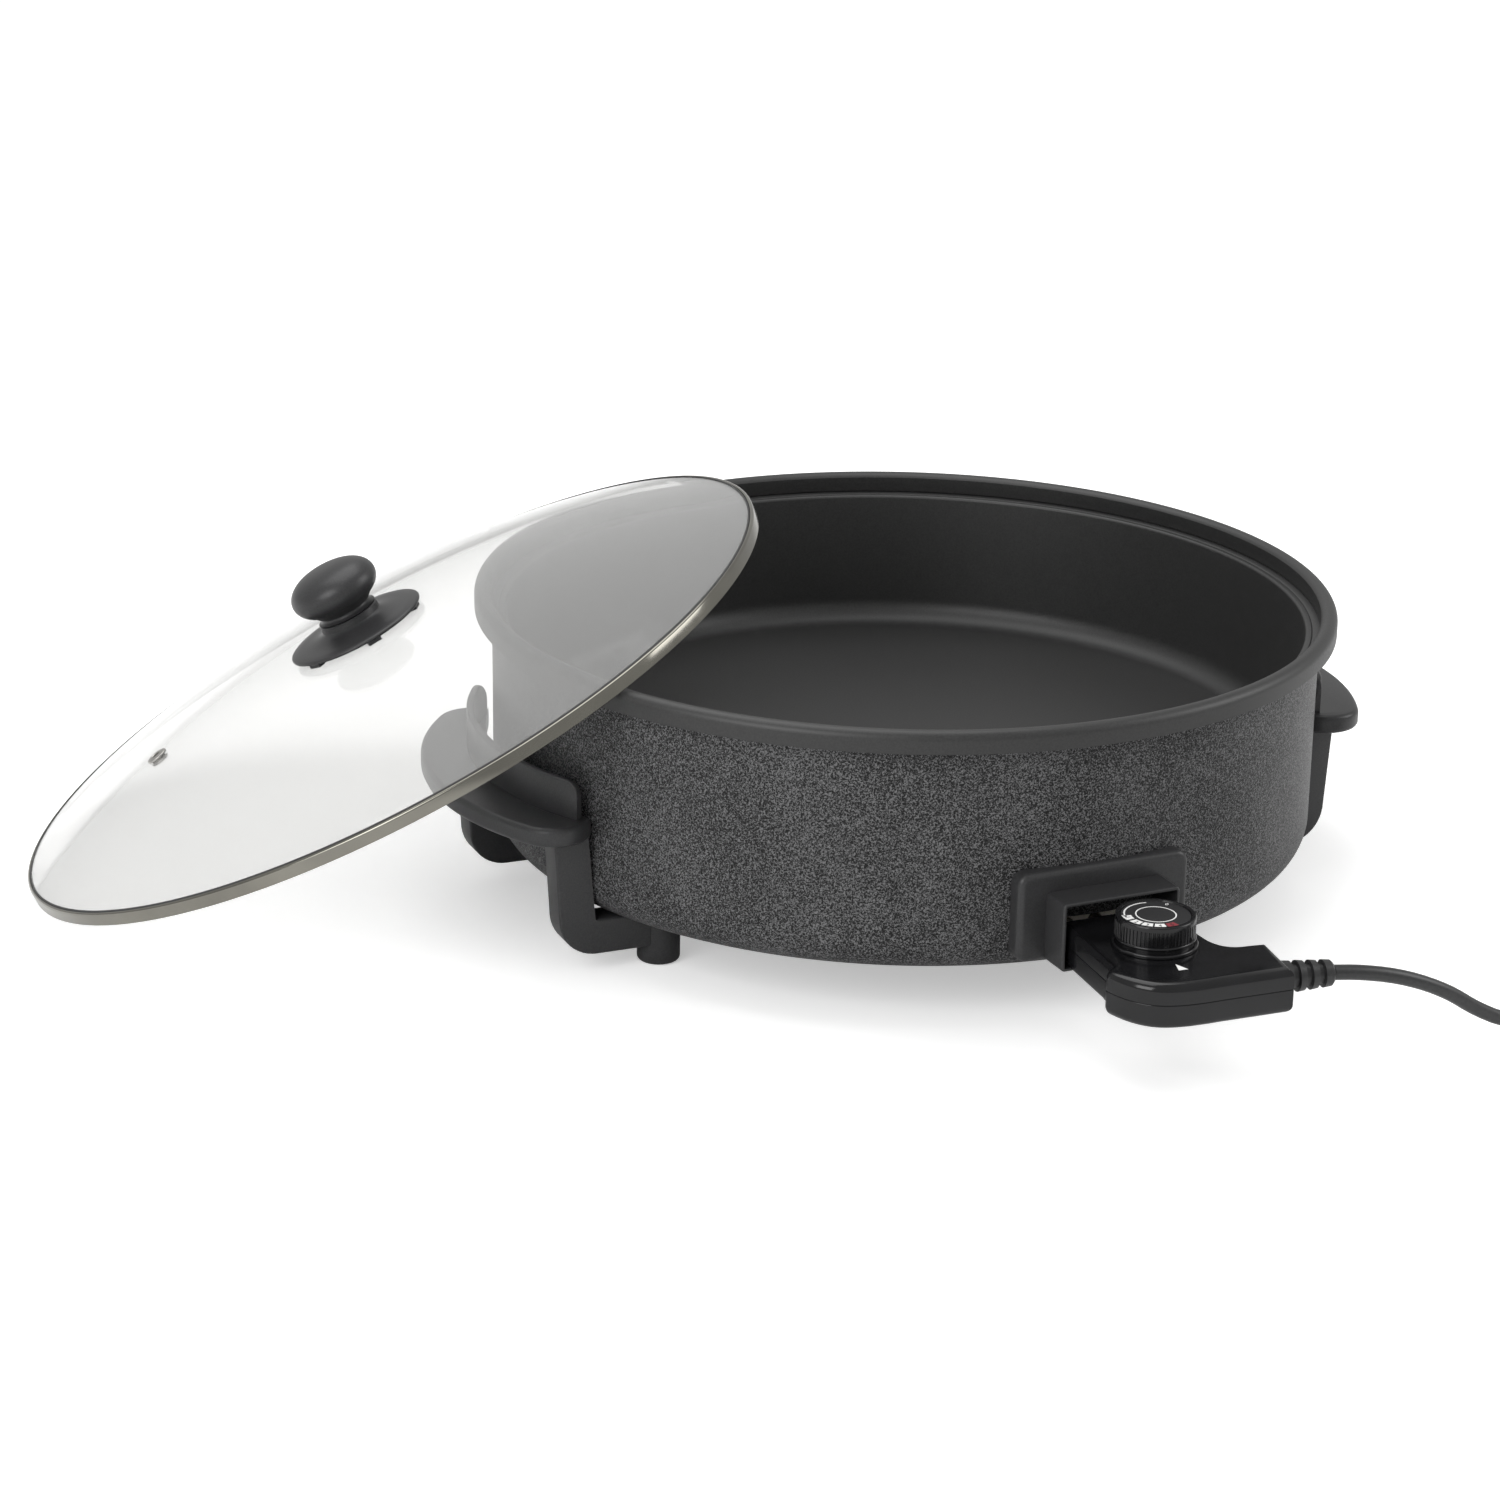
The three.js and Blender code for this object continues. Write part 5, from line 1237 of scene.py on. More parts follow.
@dataclass
class Dial:
    """The knurled dial with its printed face."""

    y: float = 251.5
    low: float = 29.8
    radius: float = 18.15
    height: float = 14.4
    base_radius: float = 19.6
    base_height: float = 1.6
    rim_width: float = 2.0
    recess: float = 0.9
    knurls: int = 60
    knurl_depth: float = 0.4
    band: float = 2.4
    ring_radius: float = 9.0
    mark_radius: float = 13.6
    mark_width: float = 4.5
    mark_half_angle: float = 10.3
    bearings: tuple[tuple[str, float], ...] = (("1", 173), ("2", -160), ("3", -136), ("4", -112), ("5", -88))
    zero_bearing: float = 39
    figure_size: float = 3.2
    figure_extrusion: float = 0.03
    sweep_radius: float = 14.2
    sweep_width: float = 0.7
    sweep_middle: float = 122
    sweep_half_angle: float = 44
    arrow_tip: float = 172
    arrow_foot: float = 164
    arrow_shares: Pair = (0.92, 1.08)  # of the sweep's radius, for the arrow's two corners
    ring_half_width: float = 0.3
    edge: float = 0.8
    waist: float = 0.6
    bead_radius: float = 0.75
    bead_inset: float = 0.3
    recess_slope: float = 0.3
    overlap: float = 0.2
    disc_margin: float = 0.5
    disc_low: float = 0.05
    disc_high: float = 0.3
    ink_low: float = 0.32
    ink_high: float = 0.38
    figure_lift: float = 0.05
    ridge_shares: tuple[Pair, ...] = ((0, 0), (0.45, 0), (0.6, 1), (0.85, 1))  # of pitch and depth

    def knurled(self, low: float, high: float) -> Form:
        """Gives the ridged part of the side.

        Args:
            low: height of its underside.
            high: height of its top.

        Returns:
            The closed form.
        """
        outline = []
        for i in range(self.knurls):
            for share, depth_share in self.ridge_shares:
                radius = self.radius - self.knurl_depth * depth_share
                a = FULL_TURN * (i + share) / self.knurls
                outline.append((radius * math.cos(a), radius * math.sin(a)))
        return plate(outline, low, high)

    def sector(self, middle: float, half_angle: float, radius: float, width: float) -> list[Pair]:
        """Gives the outline of a piece of a ring round the dial's axis.

        Args:
            middle: bearing of its middle, in degrees.
            half_angle: half the angle that it spans, in degrees.
            radius: radius of its middle line.
            width: how wide it is.

        Returns:
            The outline's points, counter-clockwise.
        """
        return [
            *arc((0, 0), radius + width / 2, middle - half_angle, middle + half_angle, 10),
            *arc((0, 0), radius - width / 2, middle + half_angle, middle - half_angle, 10),
        ]

    def mark(self, name: str, outline: Sequence[Pair], low: float, high: float, ink: Finish) -> None:
        """Makes one printed mark of the face."""
        form = plate(outline, low, high).shifted(0, -self.y, 0)
        Piece(name, form, ink, "dial", "dial_print").make()

    def figure(self, text: str, angle: float, height: float, ink: Finish) -> None:
        """Makes one printed figure, its foot towards the dial's axis.

        Args:
            text: the figure.
            angle: its bearing, in degrees.
            height: height of its middle.
            ink: its finish.
        """
        curve = bpy.data.curves.new("figure_" + text, "FONT")
        curve.body = text
        curve.size = self.figure_size
        curve.align_x = "CENTER"
        curve.align_y = "CENTER"
        curve.extrude = self.figure_extrusion
        made = bpy.data.objects.new("figure_" + text, curve)
        bpy.context.scene.collection.objects.link(made)
        bpy.context.view_layer.update()
        graph = bpy.context.evaluated_depsgraph_get()
        mesh = bpy.data.meshes.new_from_object(made.evaluated_get(graph))
        bpy.data.objects.remove(made)
        a = math.radians(angle)
        middle = (self.mark_radius * math.cos(a), self.mark_radius * math.sin(a) - self.y, height)
        place = Matrix.Translation(middle)
        form = Form([v.co.copy() for v in mesh.vertices], [tuple(p.vertices) for p in mesh.polygons])
        form = form.moved(place @ Matrix.Rotation(a + math.pi / 2, 4, "Z"))
        Piece("figure_" + text, form, ink, "dial", "dial_print").make()

    def build(self) -> None:
        """Makes the dial, its face and the printed marks."""
        self.build_body()
        face = self.low + self.height - self.recess
        margin = self.rim_width + self.disc_margin
        outline = arc((0, 0), self.radius - margin, 0, 355, 71)
        disc = plate(outline, face + self.disc_low, face + self.disc_high)
        Piece("face_disc", disc.shifted(0, -self.y, 0), DARK_INK, "dial", "dial_print", ("dial_face",)).make()
        low, high = face + self.ink_low, face + self.ink_high
        for text, angle in self.bearings:
            outline = self.sector(angle, self.mark_half_angle, self.mark_radius, self.mark_width)
            self.mark("field_" + text, outline, low, high, RED_INK if text == "5" else PALE_INK)
            self.figure(text, angle, high + self.figure_lift, DARK_INK)
        self.figure("0", self.zero_bearing, high, PALE_INK)
        sweep = self.sector(self.sweep_middle, self.sweep_half_angle, self.sweep_radius, self.sweep_width)
        self.mark("sweep_line", sweep, low, high, PALE_INK)
        self.mark("sweep_arrow", self.arrow(), low, high, PALE_INK)
        near, far = self.ring_radius - self.ring_half_width, self.ring_radius + self.ring_half_width
        ring = turned([(near, low), (far, low), (far, high), (near, high)], 72, closed=True)
        Piece("ring_mark", ring.shifted(0, -self.y, 0), PALE_INK, "dial", "dial_print").make()

    def arrow(self) -> list[Pair]:
        """Gives the outline of the small arrow at the end of the sweep.

        Returns:
            The outline's points, counter-clockwise.
        """
        foot, tip = math.radians(self.arrow_foot), math.radians(self.arrow_tip)
        x, y = self.sweep_radius * math.cos(foot), self.sweep_radius * math.sin(foot)
        inner, outer = [(x * share, y * share) for share in self.arrow_shares]
        return [outer, (self.sweep_radius * math.cos(tip), self.sweep_radius * math.sin(tip)), inner]

    def build_body(self) -> None:
        """Makes the dial's foot, bead, ridges and cap as one piece."""
        high = self.low + self.height
        edge, step, waist = self.edge, self.base_height, self.radius - self.waist
        foot = [
            (0, self.low),
            (self.base_radius, self.low),
            *arc((self.base_radius - edge, self.low + edge), edge, 0, 90, 5),
            (waist, self.low + step),
            (waist, self.low + 2 * step),
            (0, self.low + 2 * step),
        ]
        cap = [
            (0, high - self.band),
            (self.radius, high - self.band),
            *arc((self.radius - edge, high - edge), edge, 0, 90, 6),
            (self.radius - self.rim_width, high),
            (self.radius - self.rim_width - self.recess_slope, high - self.recess),
            (0, high - self.recess),
        ]
        bead = [
            (0, self.low + 2 * step),
            *arc((self.radius - self.bead_inset, self.low + 2.5 * step), self.bead_radius, -90, 90, 8),
            (0, self.low + 3 * step),
        ]
        ridges = self.knurled(self.low + 3 * step - self.overlap, high - self.band + self.overlap)
        whole = turned(foot, 96).with_form(turned(bead, 96)).with_form(ridges).with_form(turned(cap, 96))
        whole = whole.shifted(0, -self.y, 0)
        Piece("knurled_dial", whole, GlossAbs(), "dial", "controller_shell", ("control_dial",)).make()


# Cord


@dataclass
class Cord:
    """The mains cord with its coil, its tie and its plug."""

    controller: Controller
    diameter: float = 7
    coil_gap: float = 0.6
    coil_x: float = 262
    coil_y: float = -240
    middle_radius: float = 38.6
    turns_per_layer: int = 2
    layers: int = 2
    climb_share: float = 0.25
    tie_thickness: float = 0.8
    tie_half_width: float = 3
    tie_round: float = 3.5
    tie_edge: float = 0.2
    tail: float = 46
    plug_radius: float = 18.5
    plug_length: float = 44
    plug_nose: float = 16
    plug_neck: float = 6.4
    neck_edge: float = 1
    neck_step: float = 0.6
    neck_slope: float = 2
    shoulder_shares: Pair = (0.8, 0.8)  # of the plug's radius, and of its length behind the nose
    shoulder_round: float = 2.5
    shoulder_drop: float = 0.5
    nose_round: float = 1.5
    route: tuple[tuple[float, float, float], ...] = (
        (38.5, -5.7, 44.7),
        (55.5, -7.4, 41),
        (71.5, -8, 35.2),
        (86.5, -8, 27.6),
        (101.5, -7.4, 17.8),
        (117.5, -6.4, 9.5),
        (134.5, -5, 5.1),
        (152.5, -3.7, 3.8),
        (174.5, -2.6, 3.8),
    )

    def __post_init__(self) -> None:
        """Works out the coil's sizes."""
        self.pitch = self.diameter + self.coil_gap
        self.outer = self.middle_radius + self.pitch * self.turns_per_layer / 2
        self.coil_low = TABLE + self.tie_thickness + GAP + self.diameter / 2
        self.coil_high = self.coil_low + self.pitch * (self.layers - 1)

    def coil_point(self, turns: float) -> Vector:
        """Gives the coiled cord's centre at a number of turns from its start.

        Args:
            turns: how many turns lie before the point.

        Returns:
            The cord's centre there.
        """
        reverse = self.turns_per_layer
        radius = self.outer - self.pitch * min(turns, 2 * reverse - turns)
        share = (turns - reverse + self.climb_share) / (2 * self.climb_share)
        share = min(max(share, 0), 1)
        climb = share * share * (3 - 2 * share)
        a = turns * FULL_TURN - math.pi / 2
        height = self.coil_low + self.pitch * (self.layers - 1) * climb
        return Vector((self.coil_x + radius * math.cos(a), self.coil_y + radius * math.sin(a), height))

    def free_points(self) -> list[Vector]:
        """Gives the route from the strain relief to the coil, in points from the tail and the table.

        Returns:
            The points, both ends included.
        """
        face, way = self.controller.tail_frame()
        start = face + way * (self.controller.relief_length + 2 * GAP)
        end = Vector((self.coil_x - self.diameter, self.coil_y - self.outer, self.coil_low))
        middle = [Vector((face.x + x, face.y + y, TABLE + z)) for x, y, z in self.route]
        return [start, *middle, end - Vector((self.diameter + GAP, 0, 0)), end]

    def centre_line(self) -> list[Vector]:
        """Gives the whole cord's centre line, with the coil and the tail to the plug.

        Returns:
            The points, both ends included.
        """
        steps = 24
        coil = [self.coil_point(i / steps) for i in range(self.layers * self.turns_per_layer * steps + 1)]
        last, neck = coil[-1], self.plug_place()
        run = Vector((self.diameter, 0, 0))
        ending = smooth_path([last + run, last + 2 * run, neck - run, neck - Vector((GAP, 0, 0))], 4)
        return smooth_path(self.free_points(), 3) + coil + ending

    def plug_place(self) -> Vector:
        """Gives the place where the cord meets the plug.

        Returns:
            The middle of the plug's near end.
        """
        return Vector(
            (self.coil_x + self.diameter + self.tail, self.coil_y - self.outer, TABLE + self.plug_radius)
        )

    def build(self) -> None:
        """Makes the cord, its tie and its plug."""
        line = [to_frame(p) for p in self.centre_line()]
        curve = bpy.data.curves.new("mains_cord", "CURVE")
        curve.dimensions = "3D"
        curve.bevel_depth = self.diameter / 2 / METRE
        curve.bevel_resolution = 6
        curve.use_fill_caps = True
        spline = curve.splines.new("POLY")
        spline.points.add(len(line) - 1)
        for point, place in zip(spline.points, line):
            point.co = (*place, 1)
        spline.use_smooth = True
        curve.materials.append(CORD_PVC.material())
        cord = bpy.data.objects.new("mains_cord", curve)
        bpy.context.scene.collection.objects.link(cord)
        settle(cord, "controller", ("power_cord", "cord_coil", "cord_tail"))
        plug = self.build_plug()
        tie = self.build_tie()

    def build_tie(self) -> bpy.types.Object:
        """Makes the band round the coil.

        Returns:
            The new object.
        """
        half_x = (self.pitch + self.diameter + 3 * GAP) / 2
        half_y = self.pitch * (self.layers - 1) / 2 + self.diameter / 2 + GAP
        thick, half, edge = self.tie_thickness, self.tie_half_width, self.tie_edge
        outline = rounded_box_outline(half_x + thick, half_y + thick, self.tie_round)
        outer = plate(outline, -half, half, edge, edge, 2)
        inner = plate(rounded_box_outline(half_x, half_y, self.tie_round - thick), -2 * half, 2 * half)
        turn = Matrix.Rotation(math.pi / 2, 4, "Z") @ FACING_FRONT
        form = carved(outer, [(Cut.REMOVE, inner)]).moved(turn)
        middle = (self.coil_low + self.coil_high) / 2
        form = form.shifted(self.coil_x, self.coil_y + self.middle_radius, middle)
        return Piece("coil_band", form, SEAL_SILICONE, "controller", "cord_rubber", ("cord_tie",)).make()

    def build_plug(self) -> bpy.types.Object:
        """Makes the plain two-pin plug's body.

        Returns:
            The new object.
        """
        length, neck, edge, nose = self.plug_length, self.plug_neck, self.neck_edge, self.nose_round
        shoulder = length - self.plug_nose
        radius_share, length_share = self.shoulder_shares
        rounding = self.shoulder_round
        profile = [
            (0, 0),
            *arc((neck - edge, edge), edge, -90, 0, 4),
            (neck, shoulder / 3 - self.neck_slope),
            (neck + self.neck_step, shoulder / 3),
            (self.plug_radius * radius_share, shoulder * length_share),
            *arc((self.plug_radius - rounding, shoulder - self.shoulder_drop), rounding, 60, 0, 4),
            (self.plug_radius, length - nose),
            *arc((self.plug_radius - nose, length - nose), nose, 0, 90, 5),
            (0, length),
        ]
        place = Matrix.Translation(self.plug_place()) @ Matrix.Rotation(math.pi / 2, 4, "Y")
        form = turned(profile, 64).moved(place)
        return Piece("plug_moulding", form, CORD_PVC, "controller", "cord_rubber", ("plug_body",)).make()


def smooth_path(points: Sequence[Vector], steps: int) -> list[Vector]:
    """Gives points on one smooth curve through all the points given.

    Args:
        points: the points that the curve passes.
        steps: how many steps there are from each point to the next.

    Returns:
        The curve's points, both ends included.
    """
    made = []
    padded = [points[0] * 2 - points[1], *points, points[-1] * 2 - points[-2]]
    for i in range(1, len(padded) - 2):
        a, b, c, d = padded[i - 1 : i + 3]
        knots = [0.0]
        for p, q in ((a, b), (b, c), (c, d)):
            knots.append(knots[-1] + math.sqrt((q - p).length))
        for k in range(steps):
            t = knots[1] + (knots[2] - knots[1]) * k / steps
            ab = a.lerp(b, (t - knots[0]) / (knots[1] - knots[0]))
            bc = b.lerp(c, (t - knots[1]) / (knots[2] - knots[1]))
            cd = c.lerp(d, (t - knots[2]) / (knots[3] - knots[2]))
            abc = ab.lerp(bc, (t - knots[0]) / (knots[2] - knots[0]))
            bcd = bc.lerp(cd, (t - knots[1]) / (knots[3] - knots[1]))
            made.append(abc.lerp(bcd, (t - knots[1]) / (knots[2] - knots[1])))
    return [*made, points[-1]]


def to_frame(point: Vector) -> Vector:
    """Turns a point in millimetres over the jacket's underside to the frame's metres."""
    return Vector((point.x, point.y, point.z - FLOOR_HEIGHT)) / METRE


# Lid


@dataclass
class Lid:
    """The loose glass lid in its steel band, leaning on the rim."""

    radius: float = 200
    band_height: float = 6.4
    band_sheet: float = 0.8
    lip: float = 1.8
    glass: float = 3.6
    rise: float = 30.8
    tilt: float = 27.2
    lean: float = 157.15
    distance: float = 250.768
    flange_radius: float = 35
    neck_radius: float = 13
    collar_radius: float = 15.4
    grip_radius: float = 22.4
    nub_count: int = 6
    nub_turn: float = 27
    # the dark bead at the lip is partly a seal and partly painted shadow of the gap between lip and glass
    seal_width: float = 0.7
    seal_rise: float = 0.25
    vent_place: float = 116.1
    vent_bearing: float = 162.4
    glass_edge: float = 0.3
    glass_foot: float = 1.2
    band_edge: float = 0.2
    band_round: float = 1.2
    lip_edge: float = 0.3
    sides: int = 192

    def __post_init__(self) -> None:
        """Works out the dome's sphere and the lid's place."""
        self.dome_start = self.radius - self.lip
        self.top = self.band_height + self.rise
        self.sphere = (self.dome_start**2 + self.rise**2) / (2 * self.rise)
        self.glass_low = self.band_height - self.band_sheet - GAP - self.glass
        tilt, lean = math.radians(self.tilt), math.radians(self.lean)
        axis = Vector((math.sin(tilt) * math.cos(lean), math.sin(tilt) * math.sin(lean), math.cos(tilt)))
        height = TABLE + GAP + self.radius * math.sin(tilt)
        centre = Vector((self.distance * math.cos(lean), self.distance * math.sin(lean), height))
        turn = Vector((0, 0, 1)).rotation_difference(axis).to_matrix().to_4x4()
        self.place = Matrix.Translation(centre) @ turn

    def dome(self, radius: float) -> float:
        """Gives the height of the dome's outer surface at a radius."""
        return self.top - self.sphere + math.sqrt(self.sphere**2 - radius**2)

    def add(self, name: str, form: Form, finish: Finish, slot: str, stands_for: tuple[str, ...]) -> None:
        """Makes one piece that is drawn in the lid's own frame."""
        Piece(name, form.moved(self.place), finish, "lid", slot, stands_for).make()

    def glass_form(self) -> Form:
        """Gives the glass dome with its ground edge.

        Returns:
            The closed form.
        """
        steps = 28
        radii = [self.dome_start * i / steps for i in range(steps)]
        outer, edge = self.radius - self.band_sheet - GAP, self.glass_edge
        low, high = self.glass_low, self.glass_low + self.glass
        profile = [(r, self.dome(r) - self.glass) for r in radii]
        profile += [
            (self.dome_start - GAP, low + self.glass_foot),
            (self.dome_start, low),
            (outer - edge, low),
            (outer, low + edge),
            (outer, high - edge),
            (outer - edge, high),
            (self.dome_start, high),
            (self.dome_start - 2 * GAP, self.band_height),
        ]
        profile += [(r, self.dome(r)) for r in reversed(radii)]
        return turned(profile, self.sides)

    def rim_form(self) -> Form:
        """Gives the steel band with its rolled lips.

        Returns:
            The closed form.
        """
        inner = self.radius - self.band_sheet
        lip = self.radius - self.lip
        top = self.band_height
        low_lip = self.glass_low - GAP
        edge, rounding = self.band_edge, self.band_round
        return turned(
            [
                (inner + edge, 0),
                (self.radius - edge, 0),
                (self.radius, edge),
                *arc((self.radius - rounding, top - rounding), rounding, 0, 90, 6),
                (lip + self.lip_edge, top),
                (lip, top - self.lip_edge),
                (lip, top - self.band_sheet),
                (inner, top - self.band_sheet),
                (inner, low_lip),
                (lip + GAP, low_lip),
                (lip + GAP, low_lip - self.band_sheet),
                (inner, low_lip - self.band_sheet),
            ],
            self.sides,
            closed=True,
        )

    def seal_form(self) -> Form:
        """Gives the dark bead between the band's lip and the glass: partly the silicone seal, partly painted
        shadow of the gap there.

        Returns:
            The closed form.
        """
        outer = self.radius - self.lip - GAP / 3
        inner = outer - self.seal_width
        return turned(
            [
                (inner, self.dome(inner) - self.seal_rise),
                (outer, self.band_height - self.band_sheet),
                (outer, self.band_height + self.seal_rise / 2),
                (inner, self.dome(inner) + self.seal_rise),
            ],
            self.sides,
            closed=True,
        )

    def knob_forms(self) -> tuple[Form, Form]:
        """Gives the knob's foot and its grip.

        Returns:
            The foot and the grip.
        """
        nub, skirt, rise, base = 1.8, 2.4, 3.6, 9.4
        edge, fine_edge, flare, lip_share = 0.9, 0.6, 2, 0.85
        nub_half, nub_reach = 3.5, 4
        foot = self.top + GAP + nub - (self.top - self.dome(self.flange_radius - nub_reach))
        collar = foot + skirt + rise
        start = (self.flange_radius - skirt, foot + skirt)
        knee = (self.collar_radius + flare, foot + skirt + fine_edge)
        profile = [
            (0, foot + skirt / 2),
            (self.collar_radius, foot + skirt / 2),
            (self.flange_radius - skirt, foot),
            *arc((self.flange_radius - edge, foot + edge), edge, -90, 60, 6),
            (self.flange_radius - skirt / 2, foot + skirt * lip_share),
            *bend(start, knee, (self.collar_radius, collar), 10),
            (self.collar_radius, foot + base - fine_edge),
            (self.collar_radius - fine_edge, foot + base),
            (0, foot + base),
        ]
        body = turned(profile, 96)
        nubs = []
        far = self.flange_radius - skirt / 2
        for i in range(self.nub_count):
            form = box((far - nub_reach, -nub_half, foot - nub), (far, nub_half, foot + skirt / 2))
            turn = math.radians(self.nub_turn) + FULL_TURN * i / self.nub_count
            nubs.append((Cut.JOIN, form.moved(Matrix.Rotation(turn, 4, "Z"))))
        base_form = carved(body, nubs)
        low = foot + base + GAP
        grip_height, neck_height = 23.0, 2.6
        middle = low + neck_height + grip_height / 2
        collar_edge, waist, steps = 0.5, 1, 28
        outer = self.collar_radius - GAP
        points: list[Pair] = [(0, low), (outer - collar_edge, low), (outer, low + collar_edge)]
        points += bend(points[-1], (self.neck_radius, low + waist), (self.neck_radius, low + neck_height), 8)
        for i in range(1, steps + 1):
            a = math.pi / 2 * (-0.6 + 1.6 * i / steps)
            width = 0.0 if i == steps else self.grip_radius * math.cos(a) ** 0.8
            points.append((width, middle + grip_height / 2 * math.sin(a)))
        return base_form, turned(points, 96)

    def build(self) -> None:
        """Makes the glass, the band, the knob and the vent."""
        self.add("glass_dome", self.glass_form(), TemperedGlass(), "lid_glass", ("glass_lid",))
        self.add("steel_band", self.rim_form(), POLISHED_STEEL, "rim_steel", ("lid_rim",))
        # a dark bead: partly seal, partly painted shadow in the gap between the band's lip and the glass
        self.add("lid_seal", self.seal_form(), SEAL_SILICONE, "knob_seal", ())
        foot, grip = self.knob_forms()
        self.add("knob_foot", foot, MouldedPhenolic(), "moulded_handle", ("knob_base",))
        self.add("knob_cap", grip, MouldedPhenolic(), "moulded_handle", ("knob_grip",))
        self.build_vent()

    def build_vent(self) -> None:
        """Makes the steam vent's metal eyelet."""
        radius, wall, flange, lip = 2.2, 1.4, 1.8, 0.45
        washer, roll, edge = 0.7, 0.5, 0.4
        outer, under = radius + wall, -self.glass - lip
        profile = [
            (radius, under - washer),
            (outer + flange / 2, under - washer),
            (outer + flange / 2, under),
            (outer, under),
            (outer, lip),
            (outer + flange, lip),
            *arc((outer + flange - roll, lip + roll), roll, 0, 80, 4),
            (outer, lip + wall),
            (radius + edge, lip + wall),
            (radius, lip + wall - edge),
        ]
        slope = math.asin(self.vent_place / self.sphere)
        place = (
            Matrix.Rotation(math.radians(self.vent_bearing), 4, "Z")
            @ Matrix.Translation((self.vent_place, 0, self.dome(self.vent_place)))
            @ Matrix.Rotation(slope, 4, "Y")
        )
        form = turned(profile, 36, closed=True).moved(place)
        self.add("vent_eyelet", form, PLATED_STEEL, "rim_steel", ("vent_grommet",))


# Camera, light and background


def seen_white(tree: bpy.types.NodeTree, plain: bpy.types.Node, white: bpy.types.Node, output: str) -> None:
    """Shows the white shader to the camera and through glass, and the plain one to all other rays.

    Args:
        tree: the node tree to add to.
        plain: the shader for all other rays.
        white: the shader for what the camera sees.
        output: the output node's type name.
    """
    seen = add_node(tree, "ShaderNodeLightPath").outputs
    known = add_node(
        tree,
        "ShaderNodeMath",
        {"operation": "MAXIMUM"},
        {0: seen["Is Camera Ray"], 1: seen["Is Transmission Ray"]},
    )
    links = {0: known.outputs[0], 1: plain.outputs[0], 2: white.outputs[0]}
    mix = add_node(tree, "ShaderNodeMixShader", links=links)
    add_node(tree, output, links={"Surface": mix.outputs[0]})


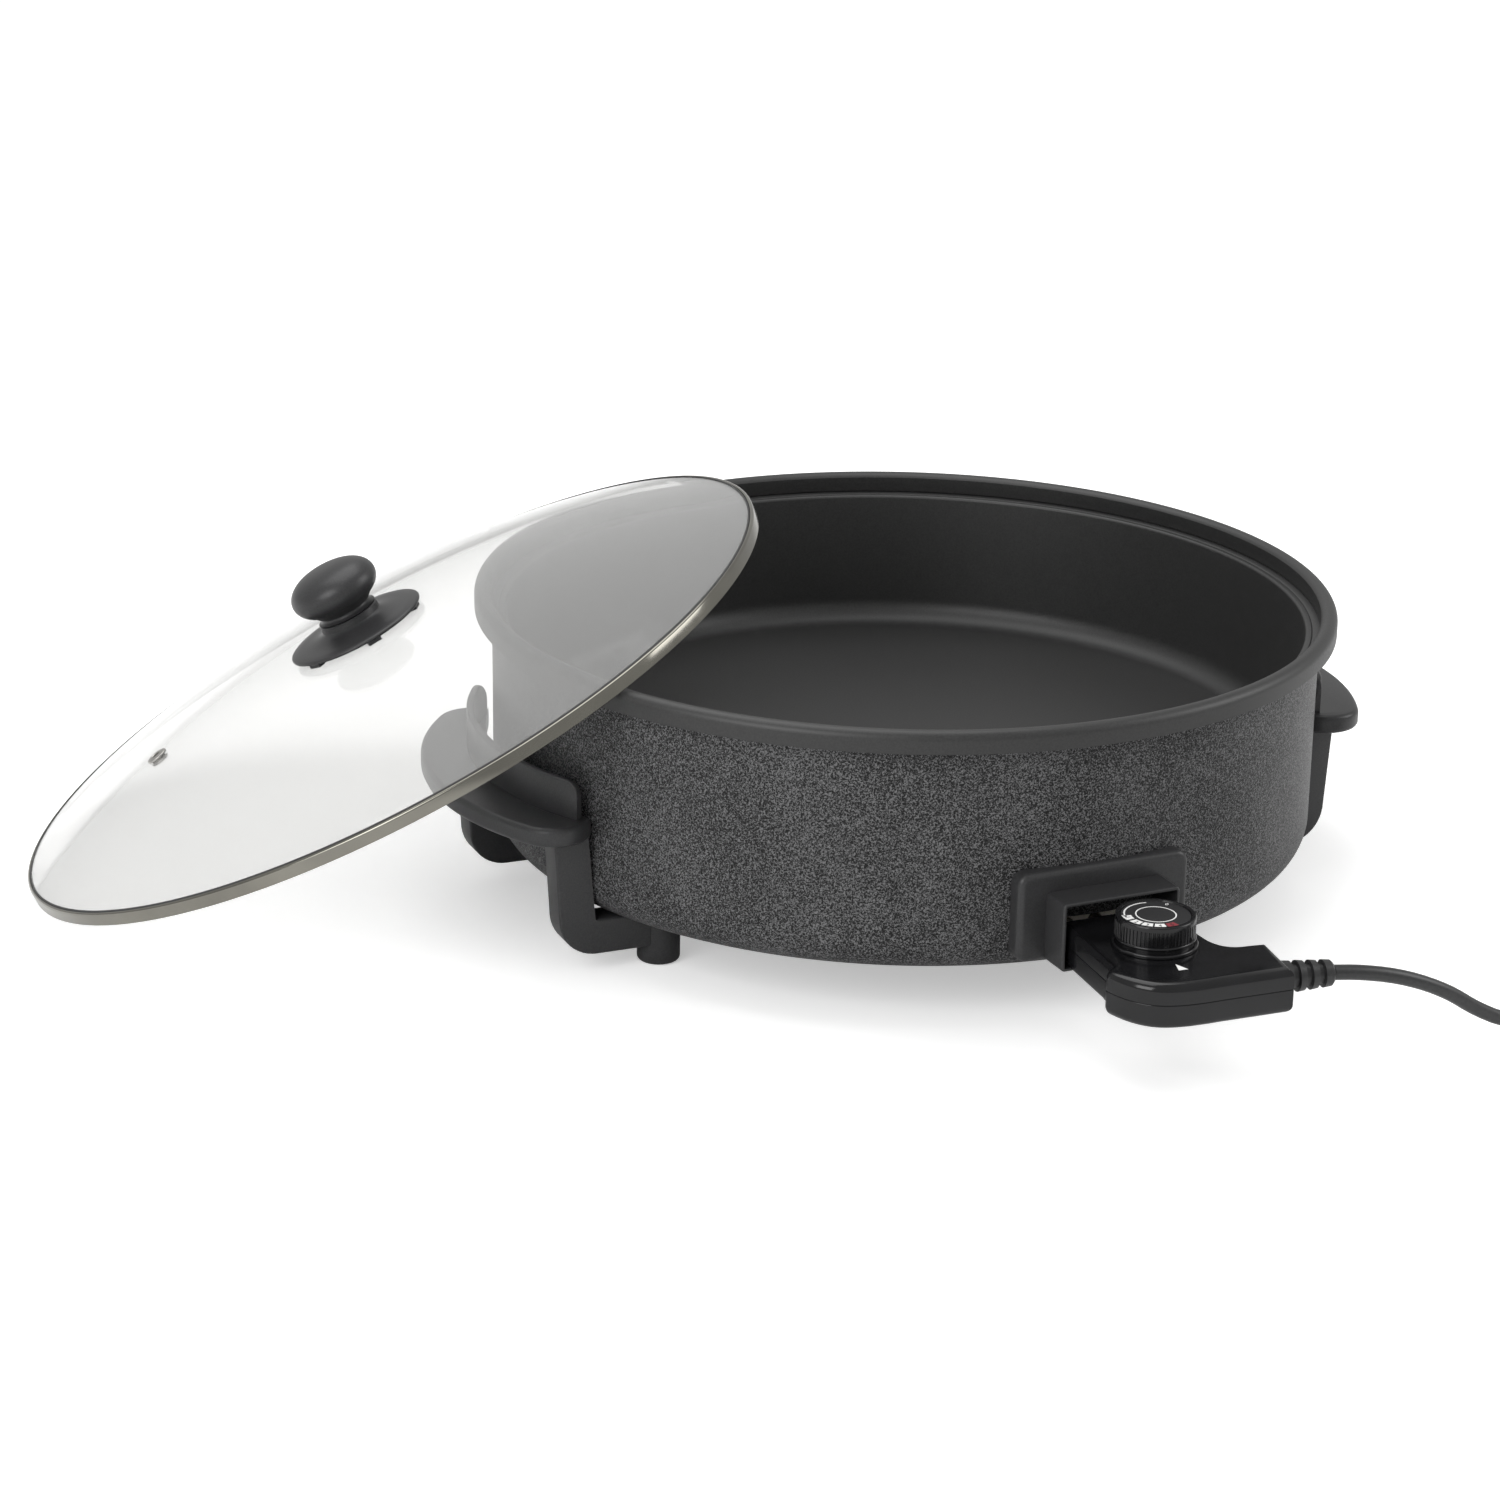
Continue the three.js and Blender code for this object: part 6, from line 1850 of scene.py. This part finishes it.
@dataclass
class Studio:
    """The camera at the photograph's place, a pale floor, soft lamps and a white world; lengths in metres."""

    camera_mm: tuple[float, float, float] = (-914.9, -1765.0, 753.6)
    heading: float = 25.21
    pitch: float = 19.87
    roll: float = 1.08
    lens: float = 102.2
    sensor: float = 36
    shift: tuple[float, float] = (0.00153, -0.0002)
    clip: tuple[float, float] = (0.05, 50)
    floor_reach: float = 30.0
    floor_drop_mm: float = 0.2
    lamps: tuple[tuple[str, tuple[float, float, float], float, float], ...] = (
        ("overhead", (-0.2, 0.5, 1.7), 1.6, 19),
        ("left_panel", (-1.6, -0.9, 1.0), 1.1, 19),
        ("right_panel", (1.7, -0.7, 1.1), 1.0, 13),
    )

    def build_camera(self) -> None:
        """Makes the camera."""
        data = bpy.data.cameras.new("camera")
        data.sensor_width = self.sensor
        data.lens = self.lens
        data.shift_x, data.shift_y = self.shift
        data.clip_start, data.clip_end = self.clip
        camera = bpy.data.objects.new("camera", data)
        camera.location = to_frame(Vector(self.camera_mm))
        aim = Euler((math.radians(90 - self.pitch), 0, -math.radians(self.heading))).to_matrix()
        camera.rotation_mode = "QUATERNION"
        camera.rotation_quaternion = (aim @ Matrix.Rotation(math.radians(self.roll), 3, "Z")).to_quaternion()
        bpy.context.scene.collection.objects.link(camera)
        bpy.context.scene.camera = camera

    def build_floor(self) -> None:
        """Makes the pale floor, which shows white to the camera and in glass."""
        reach = self.floor_reach
        height = (TABLE - FLOOR_HEIGHT - self.floor_drop_mm) / METRE
        mesh = bpy.data.meshes.new("floor")
        corners = [(x * reach, y * reach, height) for x, y in ((-1, -1), (1, -1), (1, 1), (-1, 1))]
        mesh.from_pydata(corners, [], [(0, 1, 2, 3)])
        floor = bpy.data.objects.new("floor", mesh)
        bpy.context.scene.collection.objects.link(floor)
        made = bpy.data.materials.new("pale_floor")
        made.use_nodes = True
        tree = made.node_tree
        tree.nodes.clear()
        paint = add_node(tree, "ShaderNodeBsdfDiffuse", {"Color": linear("f4f4f4")})
        glow = add_node(tree, "ShaderNodeEmission", {"Color": (1, 1, 1, 1), "Strength": 0.42})
        both = add_node(tree, "ShaderNodeAddShader", links={0: paint.outputs[0], 1: glow.outputs[0]})
        seen_white(tree, paint, both, "ShaderNodeOutputMaterial")
        mesh.materials.append(made)

    def build_world(self) -> None:
        """Makes the world: plain light on the object, white where it is seen."""
        world = bpy.data.worlds.new("studio")
        bpy.context.scene.world = world
        world.use_nodes = True
        tree = world.node_tree
        tree.nodes.clear()
        plain = add_node(tree, "ShaderNodeBackground", {"Color": linear("f5f5f4"), "Strength": 0.66})
        white = add_node(tree, "ShaderNodeBackground", {"Color": (1, 1, 1, 1), "Strength": 1.0})
        seen_white(tree, plain, white, "ShaderNodeOutputWorld")

    def build_lamps(self) -> None:
        """Makes a large overhead lamp and two side panels."""
        for name, place, size, power in self.lamps:
            data = bpy.data.lights.new(name, "AREA")
            data.size = size
            data.energy = power
            lamp = bpy.data.objects.new(name, data)
            lamp.location = place
            lamp.rotation_mode = "QUATERNION"
            lamp.rotation_quaternion = (-Vector(place)).to_track_quat("-Z", "Y")
            bpy.context.scene.collection.objects.link(lamp)

    def build(self) -> None:
        """Makes everything that isn't the object, apart from the camera."""
        bpy.context.scene.view_settings.view_transform = "Standard"
        self.build_floor()
        self.build_world()
        self.build_lamps()


SIDES = tuple(side.name.lower() for side in Side)

# The CAD nodes that stay in view, by finish
KEPT: dict[Finish, tuple[str, ...]] = {
    PLATED_STEEL: (
        *(f"{kind}_{side}" for kind in ("terminal_pin", "plug_pin") for side in SIDES),
        *(f"{kind}_screw_{i}" for kind in ("shroud", "shell") for i in (1, 2)),
        *(f"handle_screw_{i}" for i in (1, 2, 3, 4)),
        *(
            f"foot_{kind}_{side}_{end}"
            for kind in ("screw", "nut")
            for side in SIDES
            for end in ("front", "rear")
        ),
        "knob_screw",
        "probe_rod",
        "dial_shaft",
    ),
    HEATER_STEEL: (
        "heating_element",
        *(f"element_clip_{i}" for i in (1, 2, 3)),
        "probe_pocket",
        "thermostat_frame",
    ),
    CONTACT_BRASS: (*(f"contact_socket_{side}" for side in SIDES), "bimetal_blade"),
    CERAMIC: ("inlet_block",),
    SEAL_SILICONE: ("knob_washer", "cord_clamp"),
}


def dress_kept_nodes() -> None:
    """Gives each CAD node that stays in view its finish."""
    for finish, names in KEPT.items():
        for name in names:
            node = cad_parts[name]
            for slot in node.material_slots:
                slot.material = finish.material()
            LOG.info("%s keeps its solid", name)


def main() -> None:
    """Builds the studio's camera and the cord first, then every sub-assembly in order."""
    logging.basicConfig(level=logging.INFO)
    studio = Studio()
    studio.build_camera()
    controller = Controller()
    Cord(controller).build()
    studio.build()
    pan = Pan()
    pan.build()
    Handle(Side.LEFT, pan).build()
    Handle(Side.RIGHT, pan).build()
    Inlet(pan).build()
    controller.build()
    Dial().build()
    Lid().build()
    dress_kept_nodes()


if __name__ == "__main__":
    main()
